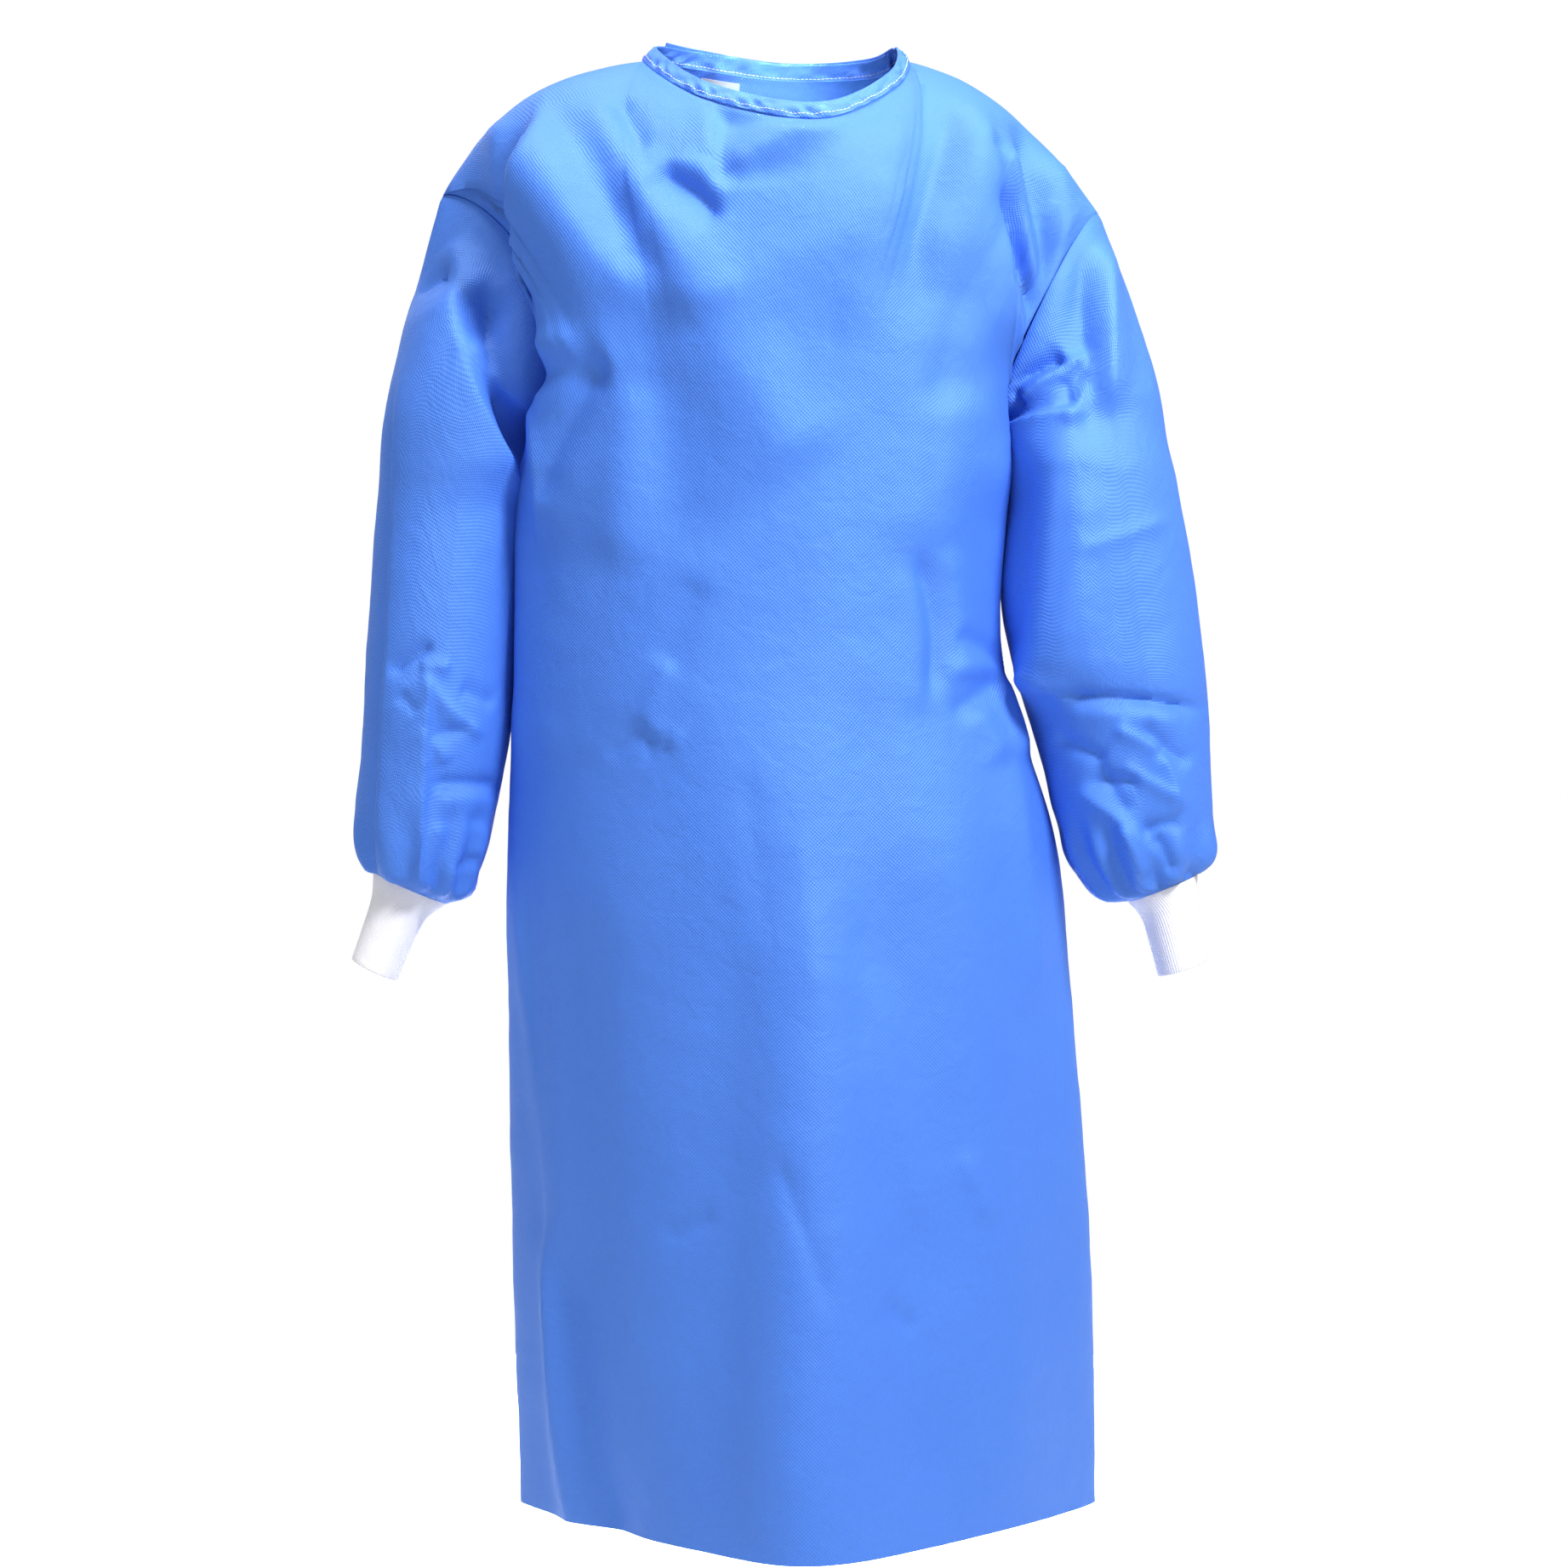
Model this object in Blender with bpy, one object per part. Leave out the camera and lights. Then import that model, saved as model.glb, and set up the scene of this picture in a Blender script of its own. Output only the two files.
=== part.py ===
"""A long-sleeved surgical gown, hollow and filled out as if worn, with knitted cuffs.

Metres, +Z up. The front faces -Y and the wearer's left is +X. The origin lies midway between the two
neck points, level with them, where the gown rests on its wearer's shoulders. Each cut piece is one
thin wall: a grid of outer points from a smooth surface, and an inner grid a cloth's thickness behind.
"""

from collections import namedtuple
from math import cos, pi, radians, sin

import bmesh
import bpy
import numpy as np
from mathutils import Matrix

# Driving dimensions
CLOTH = 0.0015  # wall of the non-woven panels
KNIT = 0.0022  # wall of the knitted cuffs
SEAM_GAP = 0.0003  # pieces stand this far apart where they are sewn
HEM = -1.136  # height of the hem
YOKE = -0.345  # height of the level ring just under the armholes
WAIST = -0.473  # height of the tie
BINDING = 0.011  # height of the neck binding
BINDING_WALL = 0.003
BINDING_LEAN = 0.4  # it leans inwards by this much of its height
LAP = 0.0045  # the outer back panel stands this far off the inner one
TIE_WIDTH = 0.030
TIE_WALL = 0.0015
TIE_GAP = 0.0006  # between a tie and the panel under it
TAIL = 0.23  # length of a tie's hanging end
TAIL_LEAN = 0.05  # how far its tip leans to one side
TAIL_OUT = 0.014  # how far it hangs off the body
TAIL_DROP = 0.0014  # how far below the knot it starts on the body, whose slope lifts it back up to the knot
KNOT_PINCH = 0.6  # share of its width that a tail keeps at the knot
KNOT_REACH = 0.33  # a tail has widened to its full width by this share of its length
BACK_ROUND = 0.64  # a turn of 1 is this far round at the middle of the back
TINY = 1e-6
STEP = 0.004  # slopes are measured over this step of turn and level
RING_STEP = 0.01  # and the body's lean over this height

# Shares of the way round from the middle of the front (0) to the side (0.5) and middle of the back (1)
NECK_TURN = 0.13  # the neckline ends at the neck point
TIP_TURN = 0.25  # the shoulder seam ends at the top of the armhole
LAP_TURN = 0.09  # each back panel runs this far past the middle
LAP_RAMP = 0.035  # the outer panel steps out over this stretch
BLUR = 0.035  # softens the corners of the top edge in the cloth below it

# How folds fade
FOLD_FADE = 0.25  # a fold rises and dies away over this share of its length
FACING = 0.5  # it shows in full where the cloth turns at least this much to its side
CALM = 0.04  # folds fade out over this distance below the body's top edge
PRESS = 0.035  # the tie presses the back's folds flat up to about this far above and below it
SLEEVE_CALM = 0.08  # a sleeve's folds fade out over this share of its length at the armhole
CUFF_CALM = 0.03  # and over this share at the cuff

HANDLES = (0.38, 0.34)  # how far the cloth over the armholes keeps its heading, below and above
OVAL_POWER = 2.2  # fullness of the chest's oval, 2 being an ellipse
PROW = 0.28  # roundness of the skirt's forward ridge

# The body's level sections: how far it reaches to each side, where its front is deepest, how deep it
# is in front and behind, how oval it is (1) or drawn out into a ridge (0), and how far its front
# corners stand out over the sleeves
Section = namedtuple("Section", "height right left crest front back oval wing")
BODY = (
    Section(HEM, 0.206, 0.244, 0.015, 0.208, 0.165, 0.10, 0.000),
    Section(-0.960, 0.212, 0.241, 0.012, 0.194, 0.160, 0.25, 0.000),
    Section(-0.760, 0.215, 0.226, 0.006, 0.174, 0.150, 0.45, 0.002),
    Section(-0.620, 0.215, 0.211, 0.000, 0.158, 0.140, 0.65, 0.004),
    Section(WAIST, 0.206, 0.167, -0.015, 0.138, 0.114, 0.90, 0.011),
    Section(YOKE, 0.199, 0.165, -0.014, 0.130, 0.110, 1.00, 0.013),
)
WING_TURN = 0.42  # the front corners
WING_SPREAD = 0.05

# The neckline by angle: 0 in front, 90 at the wearer's left, 180 behind
Corner = namedtuple("Corner", "angle x y z")
NECKLINE = (
    Corner(0, 0.025, -0.105, -0.073),
    Corner(45, 0.083, -0.066, -0.044),
    Corner(90, 0.097, -0.004, -0.004),
    Corner(135, 0.070, 0.046, 0.000),
    Corner(180, 0.000, 0.063, -0.007),
    Corner(225, -0.075, 0.047, 0.000),
    Corner(270, -0.110, -0.004, -0.004),
    Corner(315, -0.062, -0.072, -0.060),
)

# The way the cloth heads where it meets its top edge: outwards, over the shoulder, and up
Heading = namedtuple("Heading", "turn out over up")
HEADINGS = (
    Heading(0.0, 0.0, 0.45, 0.90),
    Heading(NECK_TURN, -0.2, 0.90, 0.30),
    Heading((NECK_TURN + TIP_TURN) / 2, 0.1, 1.00, 0.00),
    Heading(TIP_TURN, 0.7, 0.70, -0.15),
    Heading((TIP_TURN + 0.5) / 2, 0.8, 0.40, 0.30),
    Heading(0.5, 0.0, 0.00, 1.00),
)

# A side's shoulder: the crown bends the seam between neck point and tip, the pit is the armhole's
# lowest point, and front and back are the armhole's reach from its middle
Shoulder = namedtuple("Shoulder", "crown tip pit front back")
SHOULDERS = {
    1: Shoulder(
        crown=(0.178, 0.0, -0.028),
        tip=(0.247, 0.0, -0.126),
        pit=(0.162, 0.005, -0.308),
        front=(-0.004, -0.054, 0.002),
        back=(0.0, 0.052, 0.0),
    ),
    -1: Shoulder(
        crown=(-0.221, 0.0, -0.020),
        tip=(-0.268, 0.0, -0.112),
        pit=(-0.188, 0.005, -0.305),
        front=(0.010, -0.052, 0.008),
        back=(0.0, 0.050, 0.0),
    ),
}

# A sleeve's rings from the upper arm to the cuff seam: middle, half sizes and the tilt of the outer side
Ring = namedtuple("Ring", "x y z half_width half_depth tilt")
SLEEVES = {
    1: (
        Ring(0.2260, -0.002, -0.2610, 0.0660, 0.066, 32),
        Ring(0.2385, -0.006, -0.3350, 0.0650, 0.067, 14),
        Ring(0.2465, -0.011, -0.4250, 0.0735, 0.069, 4),
        Ring(0.2530, -0.015, -0.4900, 0.0745, 0.069, 0),
        Ring(0.2645, -0.021, -0.5600, 0.0667, 0.065, 0),
        Ring(0.2720, -0.026, -0.6050, 0.0600, 0.058, 0),
        Ring(0.2780, -0.031, -0.6370, 0.0520, 0.048, 5),
        Ring(0.2880, -0.034, -0.6520, 0.0370, 0.036, 17),
        Ring(0.3010, -0.036, -0.6550, 0.0240, 0.027, 26),
    ),
    -1: (
        Ring(-0.2510, -0.002, -0.2730, 0.0570, 0.065, 20),
        Ring(-0.2615, -0.006, -0.3600, 0.0560, 0.066, 8),
        Ring(-0.2675, -0.011, -0.4500, 0.0560, 0.066, 3),
        Ring(-0.2720, -0.017, -0.5500, 0.0565, 0.064, 0),
        Ring(-0.2795, -0.023, -0.6070, 0.0525, 0.057, 0),
        Ring(-0.2820, -0.028, -0.6360, 0.0450, 0.048, 6),
        Ring(-0.2840, -0.031, -0.6520, 0.0380, 0.038, 18),
        Ring(-0.2890, -0.033, -0.6540, 0.0310, 0.029, 24),
    ),
}

# A cuff's rings below its seam
CUFFS = {
    1: (
        Ring(0.3040, -0.038, -0.6700, 0.0205, 0.0250, 17),
        Ring(0.3085, -0.043, -0.6950, 0.0190, 0.0235, 14),
        Ring(0.3130, -0.049, -0.7190, 0.0187, 0.0230, 17),
    ),
    -1: (
        Ring(-0.2975, -0.036, -0.6700, 0.0225, 0.0260, 22),
        Ring(-0.3065, -0.042, -0.6930, 0.0200, 0.0240, 22),
        Ring(-0.3145, -0.048, -0.7155, 0.0192, 0.0230, 26),
    ),
}

# A fold seen from the front, from its upper or left end to its lower or right one. bend bows it to the
# plus side, which is right of a fold that runs down and above one that runs across. rise lifts the cloth,
# or sinks it below 0, and minus and plus are how wide it falls away on each side
Fold = namedtuple("Fold", "x0 z0 x1 z1 bend rise minus plus")
FRONT_FOLDS = (
    Fold(-0.200, -0.050, -0.190, -0.380, 0.008, 0.012, 0.018, 0.050),  # right chest edge
    Fold(0.158, -0.060, 0.168, -0.380, 0.006, 0.012, 0.050, 0.018),  # left chest edge
    Fold(0.186, -0.050, 0.202, -0.215, 0.004, 0.007, 0.012, 0.014),  # left sleeve head pleats
    Fold(0.210, -0.070, 0.207, -0.215, 0.004, -0.007, 0.012, 0.012),
    Fold(-0.215, -0.050, -0.212, -0.160, 0.000, 0.006, 0.014, 0.014),
    Fold(-0.100, -0.090, -0.040, -0.190, -0.012, -0.006, 0.025, 0.025),  # dip under the neckline
    Fold(-0.150, -0.060, -0.100, -0.330, -0.010, 0.007, 0.030, 0.040),  # drape from the shoulder
    Fold(0.130, -0.040, 0.100, -0.360, 0.010, 0.007, 0.040, 0.030),
    Fold(-0.135, -0.245, -0.190, -0.350, 0.000, -0.007, 0.022, 0.022),  # drag to the armpit
    Fold(0.110, -0.390, 0.170, -0.480, -0.008, 0.006, 0.020, 0.020),  # pull to the tie
    Fold(0.120, -0.440, 0.172, -0.500, 0.000, -0.006, 0.016, 0.016),
    Fold(0.165, -0.480, 0.195, -0.700, 0.006, 0.006, 0.020, 0.018),
    Fold(0.120, -0.520, 0.215, -1.120, 0.000, 0.006, 0.045, 0.045),  # skirt, wearer's left
    Fold(0.060, -0.600, 0.100, -1.130, 0.000, -0.005, 0.040, 0.040),
    Fold(-0.090, -0.560, -0.110, -1.130, 0.000, -0.005, 0.045, 0.045),  # skirt, wearer's right
    Fold(-0.197, -0.700, -0.176, -1.150, -0.004, 0.008, 0.012, 0.026),
    Fold(-0.155, -0.930, -0.140, -1.150, 0.000, -0.006, 0.016, 0.018),
)
BACK_FOLDS = (
    Fold(0.130, -0.060, 0.120, -0.420, 0.000, 0.007, 0.030, 0.030),
    Fold(-0.140, -0.060, -0.120, -0.420, 0.000, 0.007, 0.030, 0.030),
    Fold(0.130, -0.400, 0.140, -0.800, 0.000, 0.008, 0.016, 0.020),  # gathers held by the tie
    Fold(0.085, -0.390, 0.090, -0.760, 0.000, -0.007, 0.018, 0.018),
    Fold(0.045, -0.400, 0.055, -0.880, 0.000, 0.005, 0.020, 0.020),
    Fold(-0.150, -0.400, -0.165, -0.820, 0.000, 0.008, 0.020, 0.016),
    Fold(-0.105, -0.390, -0.110, -0.720, 0.000, -0.007, 0.018, 0.018),
    Fold(-0.060, -0.400, -0.065, -0.860, 0.000, 0.005, 0.020, 0.020),
    Fold(0.150, -0.800, 0.175, -1.150, 0.000, 0.008, 0.030, 0.030),
    Fold(-0.140, -0.780, -0.150, -1.150, 0.000, 0.008, 0.030, 0.030),
    Fold(0.020, -0.700, 0.030, -1.150, 0.000, -0.006, 0.035, 0.035),
)
SLEEVE_FOLDS = {
    1: (
        Fold(0.256, -0.160, 0.258, -0.275, 0.003, 0.009, 0.012, 0.022),  # below the sleeve head
        Fold(0.190, -0.258, 0.240, -0.235, 0.000, -0.008, 0.012, 0.012),  # tucks at the armpit
        Fold(0.178, -0.288, 0.236, -0.276, 0.000, 0.008, 0.012, 0.014),
        Fold(0.234, -0.290, 0.202, -0.510, 0.006, 0.010, 0.030, 0.045),  # inner edge of the bright side
        Fold(0.200, -0.500, 0.325, -0.512, 0.000, -0.005, 0.012, 0.012),  # elbow
        Fold(0.215, -0.520, 0.290, -0.575, 0.000, 0.005, 0.016, 0.014),
        Fold(0.270, -0.570, 0.296, -0.650, 0.000, -0.005, 0.012, 0.012),  # gathers above the cuff
    ),
    -1: (
        Fold(-0.257, -0.165, -0.206, -0.350, -0.012, 0.012, 0.040, 0.012),  # front of the sleeve laps inwards
        Fold(-0.250, -0.220, -0.202, -0.285, 0.000, -0.008, 0.016, 0.016),
        Fold(-0.284, -0.480, -0.290, -0.660, 0.000, 0.006, 0.030, 0.012),  # pleat above the cuff
        Fold(-0.298, -0.470, -0.262, -0.535, 0.000, -0.005, 0.014, 0.014),  # elbow
        Fold(-0.282, -0.566, -0.225, -0.576, 0.000, -0.005, 0.012, 0.012),
    ),
}
SLEEVE_BACK_FOLDS = {
    side: (
        Fold(side * 0.225, -0.200, side * 0.250, -0.380, 0.000, 0.008, 0.020, 0.020),
        Fold(side * 0.290, -0.300, side * 0.250, -0.480, 0.000, -0.006, 0.022, 0.022),
        Fold(side * 0.300, -0.470, side * 0.230, -0.510, 0.000, 0.006, 0.016, 0.016),
        Fold(side * 0.305, -0.560, side * 0.295, -0.650, 0.000, 0.005, 0.014, 0.014),
        Fold(side * 0.255, -0.550, side * 0.280, -0.650, 0.000, 0.005, 0.014, 0.014),
    )
    for side in (1, -1)
}
GATHERS = 10  # waves of the sleeve's end where it is drawn into the cuff
GATHER_RISE = 0.0022
GATHER_REACH = 0.14  # they reach this share of the sleeve's length up from the cuff
GATHER_FULL = 0.07  # and have their full height after this share

# Grids: how many faces each stretch of a panel is divided into
SKIRT_ROWS = 13
MIDRIFF_ROWS = 3
YOKE_ROWS = 9
NECK_FACES = 12
BACK_NECK_FACES = 6
SHOULDER_FACES = 4
LAP_FACES = 3
ARMHOLE_FACES = {"front": 12, "back": 10}
SLEEVE_ROWS = 20
CUFF_ROWS = 4
TAIL_FACES = 6

PATCH_HEIGHT = 0.022  # woven patch inside the back of the neck
PATCH_WALL = 0.0008
PATCH_GAP = 0.0016  # between the patch and the panel behind it
PATCH_TOP = 0.004  # below the neckline
PATCH_COLUMN = 5  # it fills this column of faces, counted from the right back panel's free edge
KNOT_SIZE = (0.042, 0.018, 0.030)

ROUGHNESS = 0.6
SHARP = 50  # edges that bend by more than this many degrees are shaded sharp

COLOURS = {
    "cloth": (0.10, 0.27, 0.86),
    "knit": (0.86, 0.87, 0.93),
    "patch": (0.72, 0.74, 0.78),
}


def through(keys, values, at):
    """A smooth curve through the rows of values, one for each rising key."""
    keys, values, at = np.asarray(keys, float), np.asarray(values, float), np.asarray(at, float)
    slopes = np.gradient(values, keys, axis=0)
    i = np.clip(np.searchsorted(keys, at, side="right") - 1, 0, len(keys) - 2)
    span = keys[i + 1] - keys[i]
    u = np.clip((at - keys[i]) / span, 0, 1)
    shape = at.shape + (1,) * (values.ndim - 1)
    span, u = span.reshape(shape), u.reshape(shape)
    return (
        (1 + 2 * u) * (1 - u) ** 2 * values[i]
        + u * (1 - u) ** 2 * span * slopes[i]
        + u**2 * (3 - 2 * u) * values[i + 1]
        - u**2 * (1 - u) * span * slopes[i + 1]
    )


def ease(share):
    """A smooth step from 0 to 1 as share goes from 0 to 1."""
    share = np.clip(share, 0, 1)
    return share * share * (3 - 2 * share)


def unit(vectors):
    return vectors / np.linalg.norm(vectors, axis=-1, keepdims=True)


def stack(*parts):
    return np.stack(np.broadcast_arrays(*parts), axis=-1)


def folded(folds, x, z):
    """How far the folds lift the cloth at points seen from the front at (x, z)."""
    lift = np.zeros_like(x)
    for fold in folds:
        length = np.hypot(fold.x1 - fold.x0, fold.z1 - fold.z0)
        across, down = (fold.x1 - fold.x0) / length, (fold.z1 - fold.z0) / length
        along = ((x - fold.x0) * across + (z - fold.z0) * down) / length
        off = (z - fold.z0) * across - (x - fold.x0) * down
        off = off - fold.bend * 4 * along * (1 - along)
        width = np.where(off < 0, fold.minus, fold.plus)
        fade = ease(np.minimum(along, 1 - along) / FOLD_FADE)
        lift += fold.rise * np.exp(-((off / width) ** 2)) * fade
    return lift


def body_ring(turn, height):
    """A point of the body under the armholes."""
    rows = through([row.height for row in BODY], [row[1:] for row in BODY], height)
    right, left, crest, front, back, oval, wing = np.moveaxis(rows, -1, 0)
    sideways, ahead = np.sin(pi * turn), np.cos(pi * turn)
    reach = np.clip(np.abs(sideways), 0, 1)
    round_out = (1 - reach**OVAL_POWER) ** (1 / OVAL_POWER)
    ridge = (np.hypot(1, PROW) - np.hypot(reach, PROW)) / (np.hypot(1, PROW) - PROW)
    out = oval * round_out + (1 - oval) * ridge
    side = np.where(sideways > 0, left - crest, right + crest)
    near = np.abs(np.mod(turn + 1, 2) - 1)
    corner = np.sign(sideways) * wing * np.exp(-(((near - WING_TURN) / WING_SPREAD) ** 2))
    return stack(crest + side * sideways + corner, np.where(ahead > 0, -front, back) * out, height)


def neckline(angle):
    """The closed neckline, by angle in degrees."""
    rows = [row for shift in (-360, 0, 360) for row in (Corner(c.angle + shift, *c[1:]) for c in NECKLINE)]
    return through([row.angle for row in rows], [row[1:] for row in rows], np.mod(angle, 360))


def armhole(side, angle):
    """The armhole, from its top (0) round its front (90) to the pit (180) and back (270)."""
    shoulder = SHOULDERS[side]
    tip, pit = np.array(shoulder.tip), np.array(shoulder.pit)
    turn = np.radians(angle)[..., None]
    reach = np.where(np.sin(turn) > 0, np.array(shoulder.front), -np.array(shoulder.back))
    return (tip + pit) / 2 + np.cos(turn) * (tip - pit) / 2 + np.sin(turn) * reach


def shoulder_seam(side, share):
    """The shoulder seam, from the neck point to the tip."""
    neck = neckline(np.array(90.0 if side > 0 else 270.0))
    crown, tip = np.array(SHOULDERS[side].crown), np.array(SHOULDERS[side].tip)
    share = share[..., None]
    return (1 - share) ** 2 * neck + 2 * share * (1 - share) * crown + share**2 * tip


def top_edge(turn):
    """Where the body's cloth ends, and the way it heads there."""
    turn = np.mod(turn + 1, 2) - 1
    in_front = np.abs(turn) < 0.5
    near = np.minimum(np.abs(turn), 1 - np.abs(turn))
    quarter = 90 * np.clip(near / NECK_TURN, 0, 1)
    angle = np.where(in_front, quarter, 180 - quarter)
    at = neckline(np.where(turn < 0, 360 - angle, angle))
    for side in (1, -1):
        here = (turn >= 0) if side > 0 else (turn < 0)
        seam = shoulder_seam(side, np.clip((near - NECK_TURN) / (TIP_TURN - NECK_TURN), 0, 1))
        down = 180 * np.clip((near - TIP_TURN) / (0.5 - TIP_TURN), 0, 1)
        hole = armhole(side, np.where(in_front, down, 360 - down))
        at = np.where((here & (near > NECK_TURN))[..., None], seam, at)
        at = np.where((here & (near > TIP_TURN))[..., None], hole, at)
    heading = through([row.turn for row in HEADINGS], [row[1:] for row in HEADINGS], near)
    sign = stack(np.where(turn < 0, -1, 1), np.where(in_front, 1, -1), 1.0)
    return at, unit(heading * sign)


def body_form(turn, level):
    """The body without folds. level 0 is the hem, 1 the yoke ring and 2 the top edge."""
    height = HEM + (YOKE - HEM) * np.clip(level, 0, 1)
    ring = body_ring(turn, height)
    upwards = unit(body_ring(turn, YOKE) - body_ring(turn, YOKE - RING_STEP))
    top, heading = top_edge(turn)
    soft_top = (top + top_edge(turn - BLUR)[0] + top_edge(turn + BLUR)[0]) / 3
    reach = np.linalg.norm(top - ring, axis=-1, keepdims=True)
    rise = np.clip(level - 1, 0, 1)[..., None]
    first = ring + upwards * reach * HANDLES[0]
    second = soft_top - heading * reach * HANDLES[1]
    arch = (
        (1 - rise) ** 3 * ring
        + 3 * rise * (1 - rise) ** 2 * first
        + 3 * rise**2 * (1 - rise) * second
        + rise**3 * top
    )
    return np.where((level > 1)[..., None], arch, ring)


def normals(surface, turn, level, top):
    """Unit normals of a surface whose levels run from 0 to top."""
    level = np.clip(level, STEP, top - STEP)
    along = surface(turn + STEP, level) - surface(turn - STEP, level)
    up = surface(turn, level + STEP) - surface(turn, level - STEP)
    return unit(np.cross(along, up))


def body_surface(turn, level):
    """The body's outer surface, folds and all."""
    form = body_form(turn, level)
    facing = normals(body_form, turn, level, top=2)
    x, z = form[..., 0], form[..., 2]
    front = folded(FRONT_FOLDS, x, z) * ease(-facing[..., 1] / FACING)
    back = folded(BACK_FOLDS, x, z) * ease(facing[..., 1] / FACING)
    pressed = 1 - np.exp(-(((z - WAIST) / PRESS) ** 2)) * (np.abs(np.mod(turn, 2) - 1) < 0.5)
    arch = np.linalg.norm(top_edge(turn)[0] - body_ring(turn, YOKE), axis=-1)
    lift = (front + back * pressed) * ease((2 - level) * arch / CALM)
    return form + facing * lift[..., None]


def body_normals(turn, level):
    """Normals of the body, shared by the front and back panels along the shoulder seam."""
    facing = normals(body_surface, turn, level, top=2)
    near = np.minimum(np.abs(turn), np.abs(1 - np.abs(turn)))
    other = normals(body_surface, np.sign(turn) * (1 - np.abs(turn)), level, top=2)
    seam = (level > 2 - TINY) & (near >= NECK_TURN - TINY) & (near <= TIP_TURN + TINY)
    return np.where(seam[..., None], unit(facing + other), facing)


def ring_point(ring, side, turn):
    """A point of a sleeve's ring: 0 is its outer side, 0.25 the front, 0.5 the inner side."""
    tilt = radians(ring.tilt)
    outwards = np.array((side * cos(tilt), 0, sin(tilt)))
    middle = np.array((ring.x, ring.y, ring.z))
    angle = 2 * pi * turn[..., None]
    depth = np.array((0, -ring.half_depth, 0))
    return middle + ring.half_width * np.cos(angle) * outwards + np.sin(angle) * depth


def sleeve_form(side, turn, level):
    """The sleeve without folds. level 0 is the armhole and 1 the cuff seam."""
    rings = [armhole(side, 360 * turn)] + [ring_point(ring, side, turn) for ring in SLEEVES[side]]
    points = np.stack(rings)
    middles = points.reshape(len(rings), -1, 3).mean(axis=1)
    steps = np.linalg.norm(np.diff(middles, axis=0), axis=-1)
    keys = np.concatenate([[0], np.cumsum(steps)]) / steps.sum()
    weights = through(keys, np.eye(len(rings)), level)
    return np.einsum("...r,r...c->...c", weights, points)


def sleeve_surface(side, turn, level):
    """The sleeve's outer surface, folds and gathers and all."""

    def form(at_turn, at_level):
        return sleeve_form(side, at_turn, at_level)

    plain = form(turn, level)
    facing = side * normals(form, turn, level, top=1)
    x, z = plain[..., 0], plain[..., 2]
    lift = folded(SLEEVE_FOLDS[side], x, z) * ease(-facing[..., 1] / FACING)
    lift += folded(SLEEVE_BACK_FOLDS[side], x, z) * ease(facing[..., 1] / FACING)
    near_cuff = ease((level - 1 + GATHER_REACH) / GATHER_FULL) * ease((1 - level) / CUFF_CALM)
    lift = lift * ease(level / SLEEVE_CALM) * ease((1 - level) / CUFF_CALM)
    lift += GATHER_RISE * np.cos(2 * pi * GATHERS * turn) * near_cuff
    return plain + facing * lift[..., None]


def wall(name, outer, inner, colour, closed=False):
    """A closed solid between two grids of points; closed joins the last column to the first."""
    rows, columns = outer.shape[:2]
    shape = bmesh.new()
    layers = [[[shape.verts.new(point) for point in row] for row in grid] for grid in (outer, inner)]
    across = columns if closed else columns - 1
    quads = []
    for j in range(across):
        k = (j + 1) % columns
        for n in (0, 1):
            quads += [[(n, i, j), (n, i, k), (n, i + 1, k), (n, i + 1, j)] for i in range(rows - 1)]
        quads += [[(0, i, j), (0, i, k), (1, i, k), (1, i, j)] for i in (0, rows - 1)]
    for j in () if closed else (0, columns - 1):
        quads += [[(0, i, j), (0, i + 1, j), (1, i + 1, j), (1, i, j)] for i in range(rows - 1)]
    for quad in quads:
        a, b, c, d = (layers[n][i][j] for n, i, j in quad)
        shape.faces.new((a, b, c))
        shape.faces.new((a, c, d))
    bmesh.ops.recalc_face_normals(shape, faces=shape.faces)
    return finish(name, shape, colour)


def finish(name, shape, colour):
    """Turns a bmesh into a named object with its material."""
    mesh = bpy.data.meshes.new(name)
    shape.to_mesh(mesh)
    shape.free()
    mesh.shade_smooth()
    mesh.set_sharp_from_angle(angle=radians(SHARP))
    mesh.materials.append(material(colour))
    piece = bpy.data.objects.new(name, mesh)
    bpy.context.scene.collection.objects.link(piece)
    return piece


def material(colour):
    """The Principled material of that name, made once."""
    made = bpy.data.materials.get(colour)
    if made is None:
        made = bpy.data.materials.new(colour)
        made.use_nodes = True
        shader = made.node_tree.nodes["Principled BSDF"]
        shader.inputs["Base Color"].default_value = (*COLOURS[colour], 1)
        shader.inputs["Roughness"].default_value = ROUGHNESS
        shader.inputs["Metallic"].default_value = 0.0
    return made


def stretches(*ends_and_faces):
    """Values from the first end on, each later end reached in its number of equal steps."""
    values = [ends_and_faces[0]]
    for end, faces in zip(ends_and_faces[1::2], ends_and_faces[2::2]):
        values += list(np.linspace(values[-1], end, faces + 1)[1:])
    return np.array(values)


def level_of(height):
    return (height - HEM) / (YOKE - HEM)


def body_levels():
    """Rows of the body panels, two of them at the edges of the tie."""
    tie_low, tie_high = level_of(WAIST - TIE_WIDTH / 2), level_of(WAIST + TIE_WIDTH / 2)
    return stretches(0.0, tie_low, SKIRT_ROWS, tie_high, 1, 1.0, MIDRIFF_ROWS, 2.0, YOKE_ROWS)


def front_turns():
    return stretches(
        -0.5,
        -TIP_TURN,
        ARMHOLE_FACES["front"],
        -NECK_TURN,
        SHOULDER_FACES,
        NECK_TURN,
        NECK_FACES,
        TIP_TURN,
        SHOULDER_FACES,
        0.5,
        ARMHOLE_FACES["front"],
    )


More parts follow.
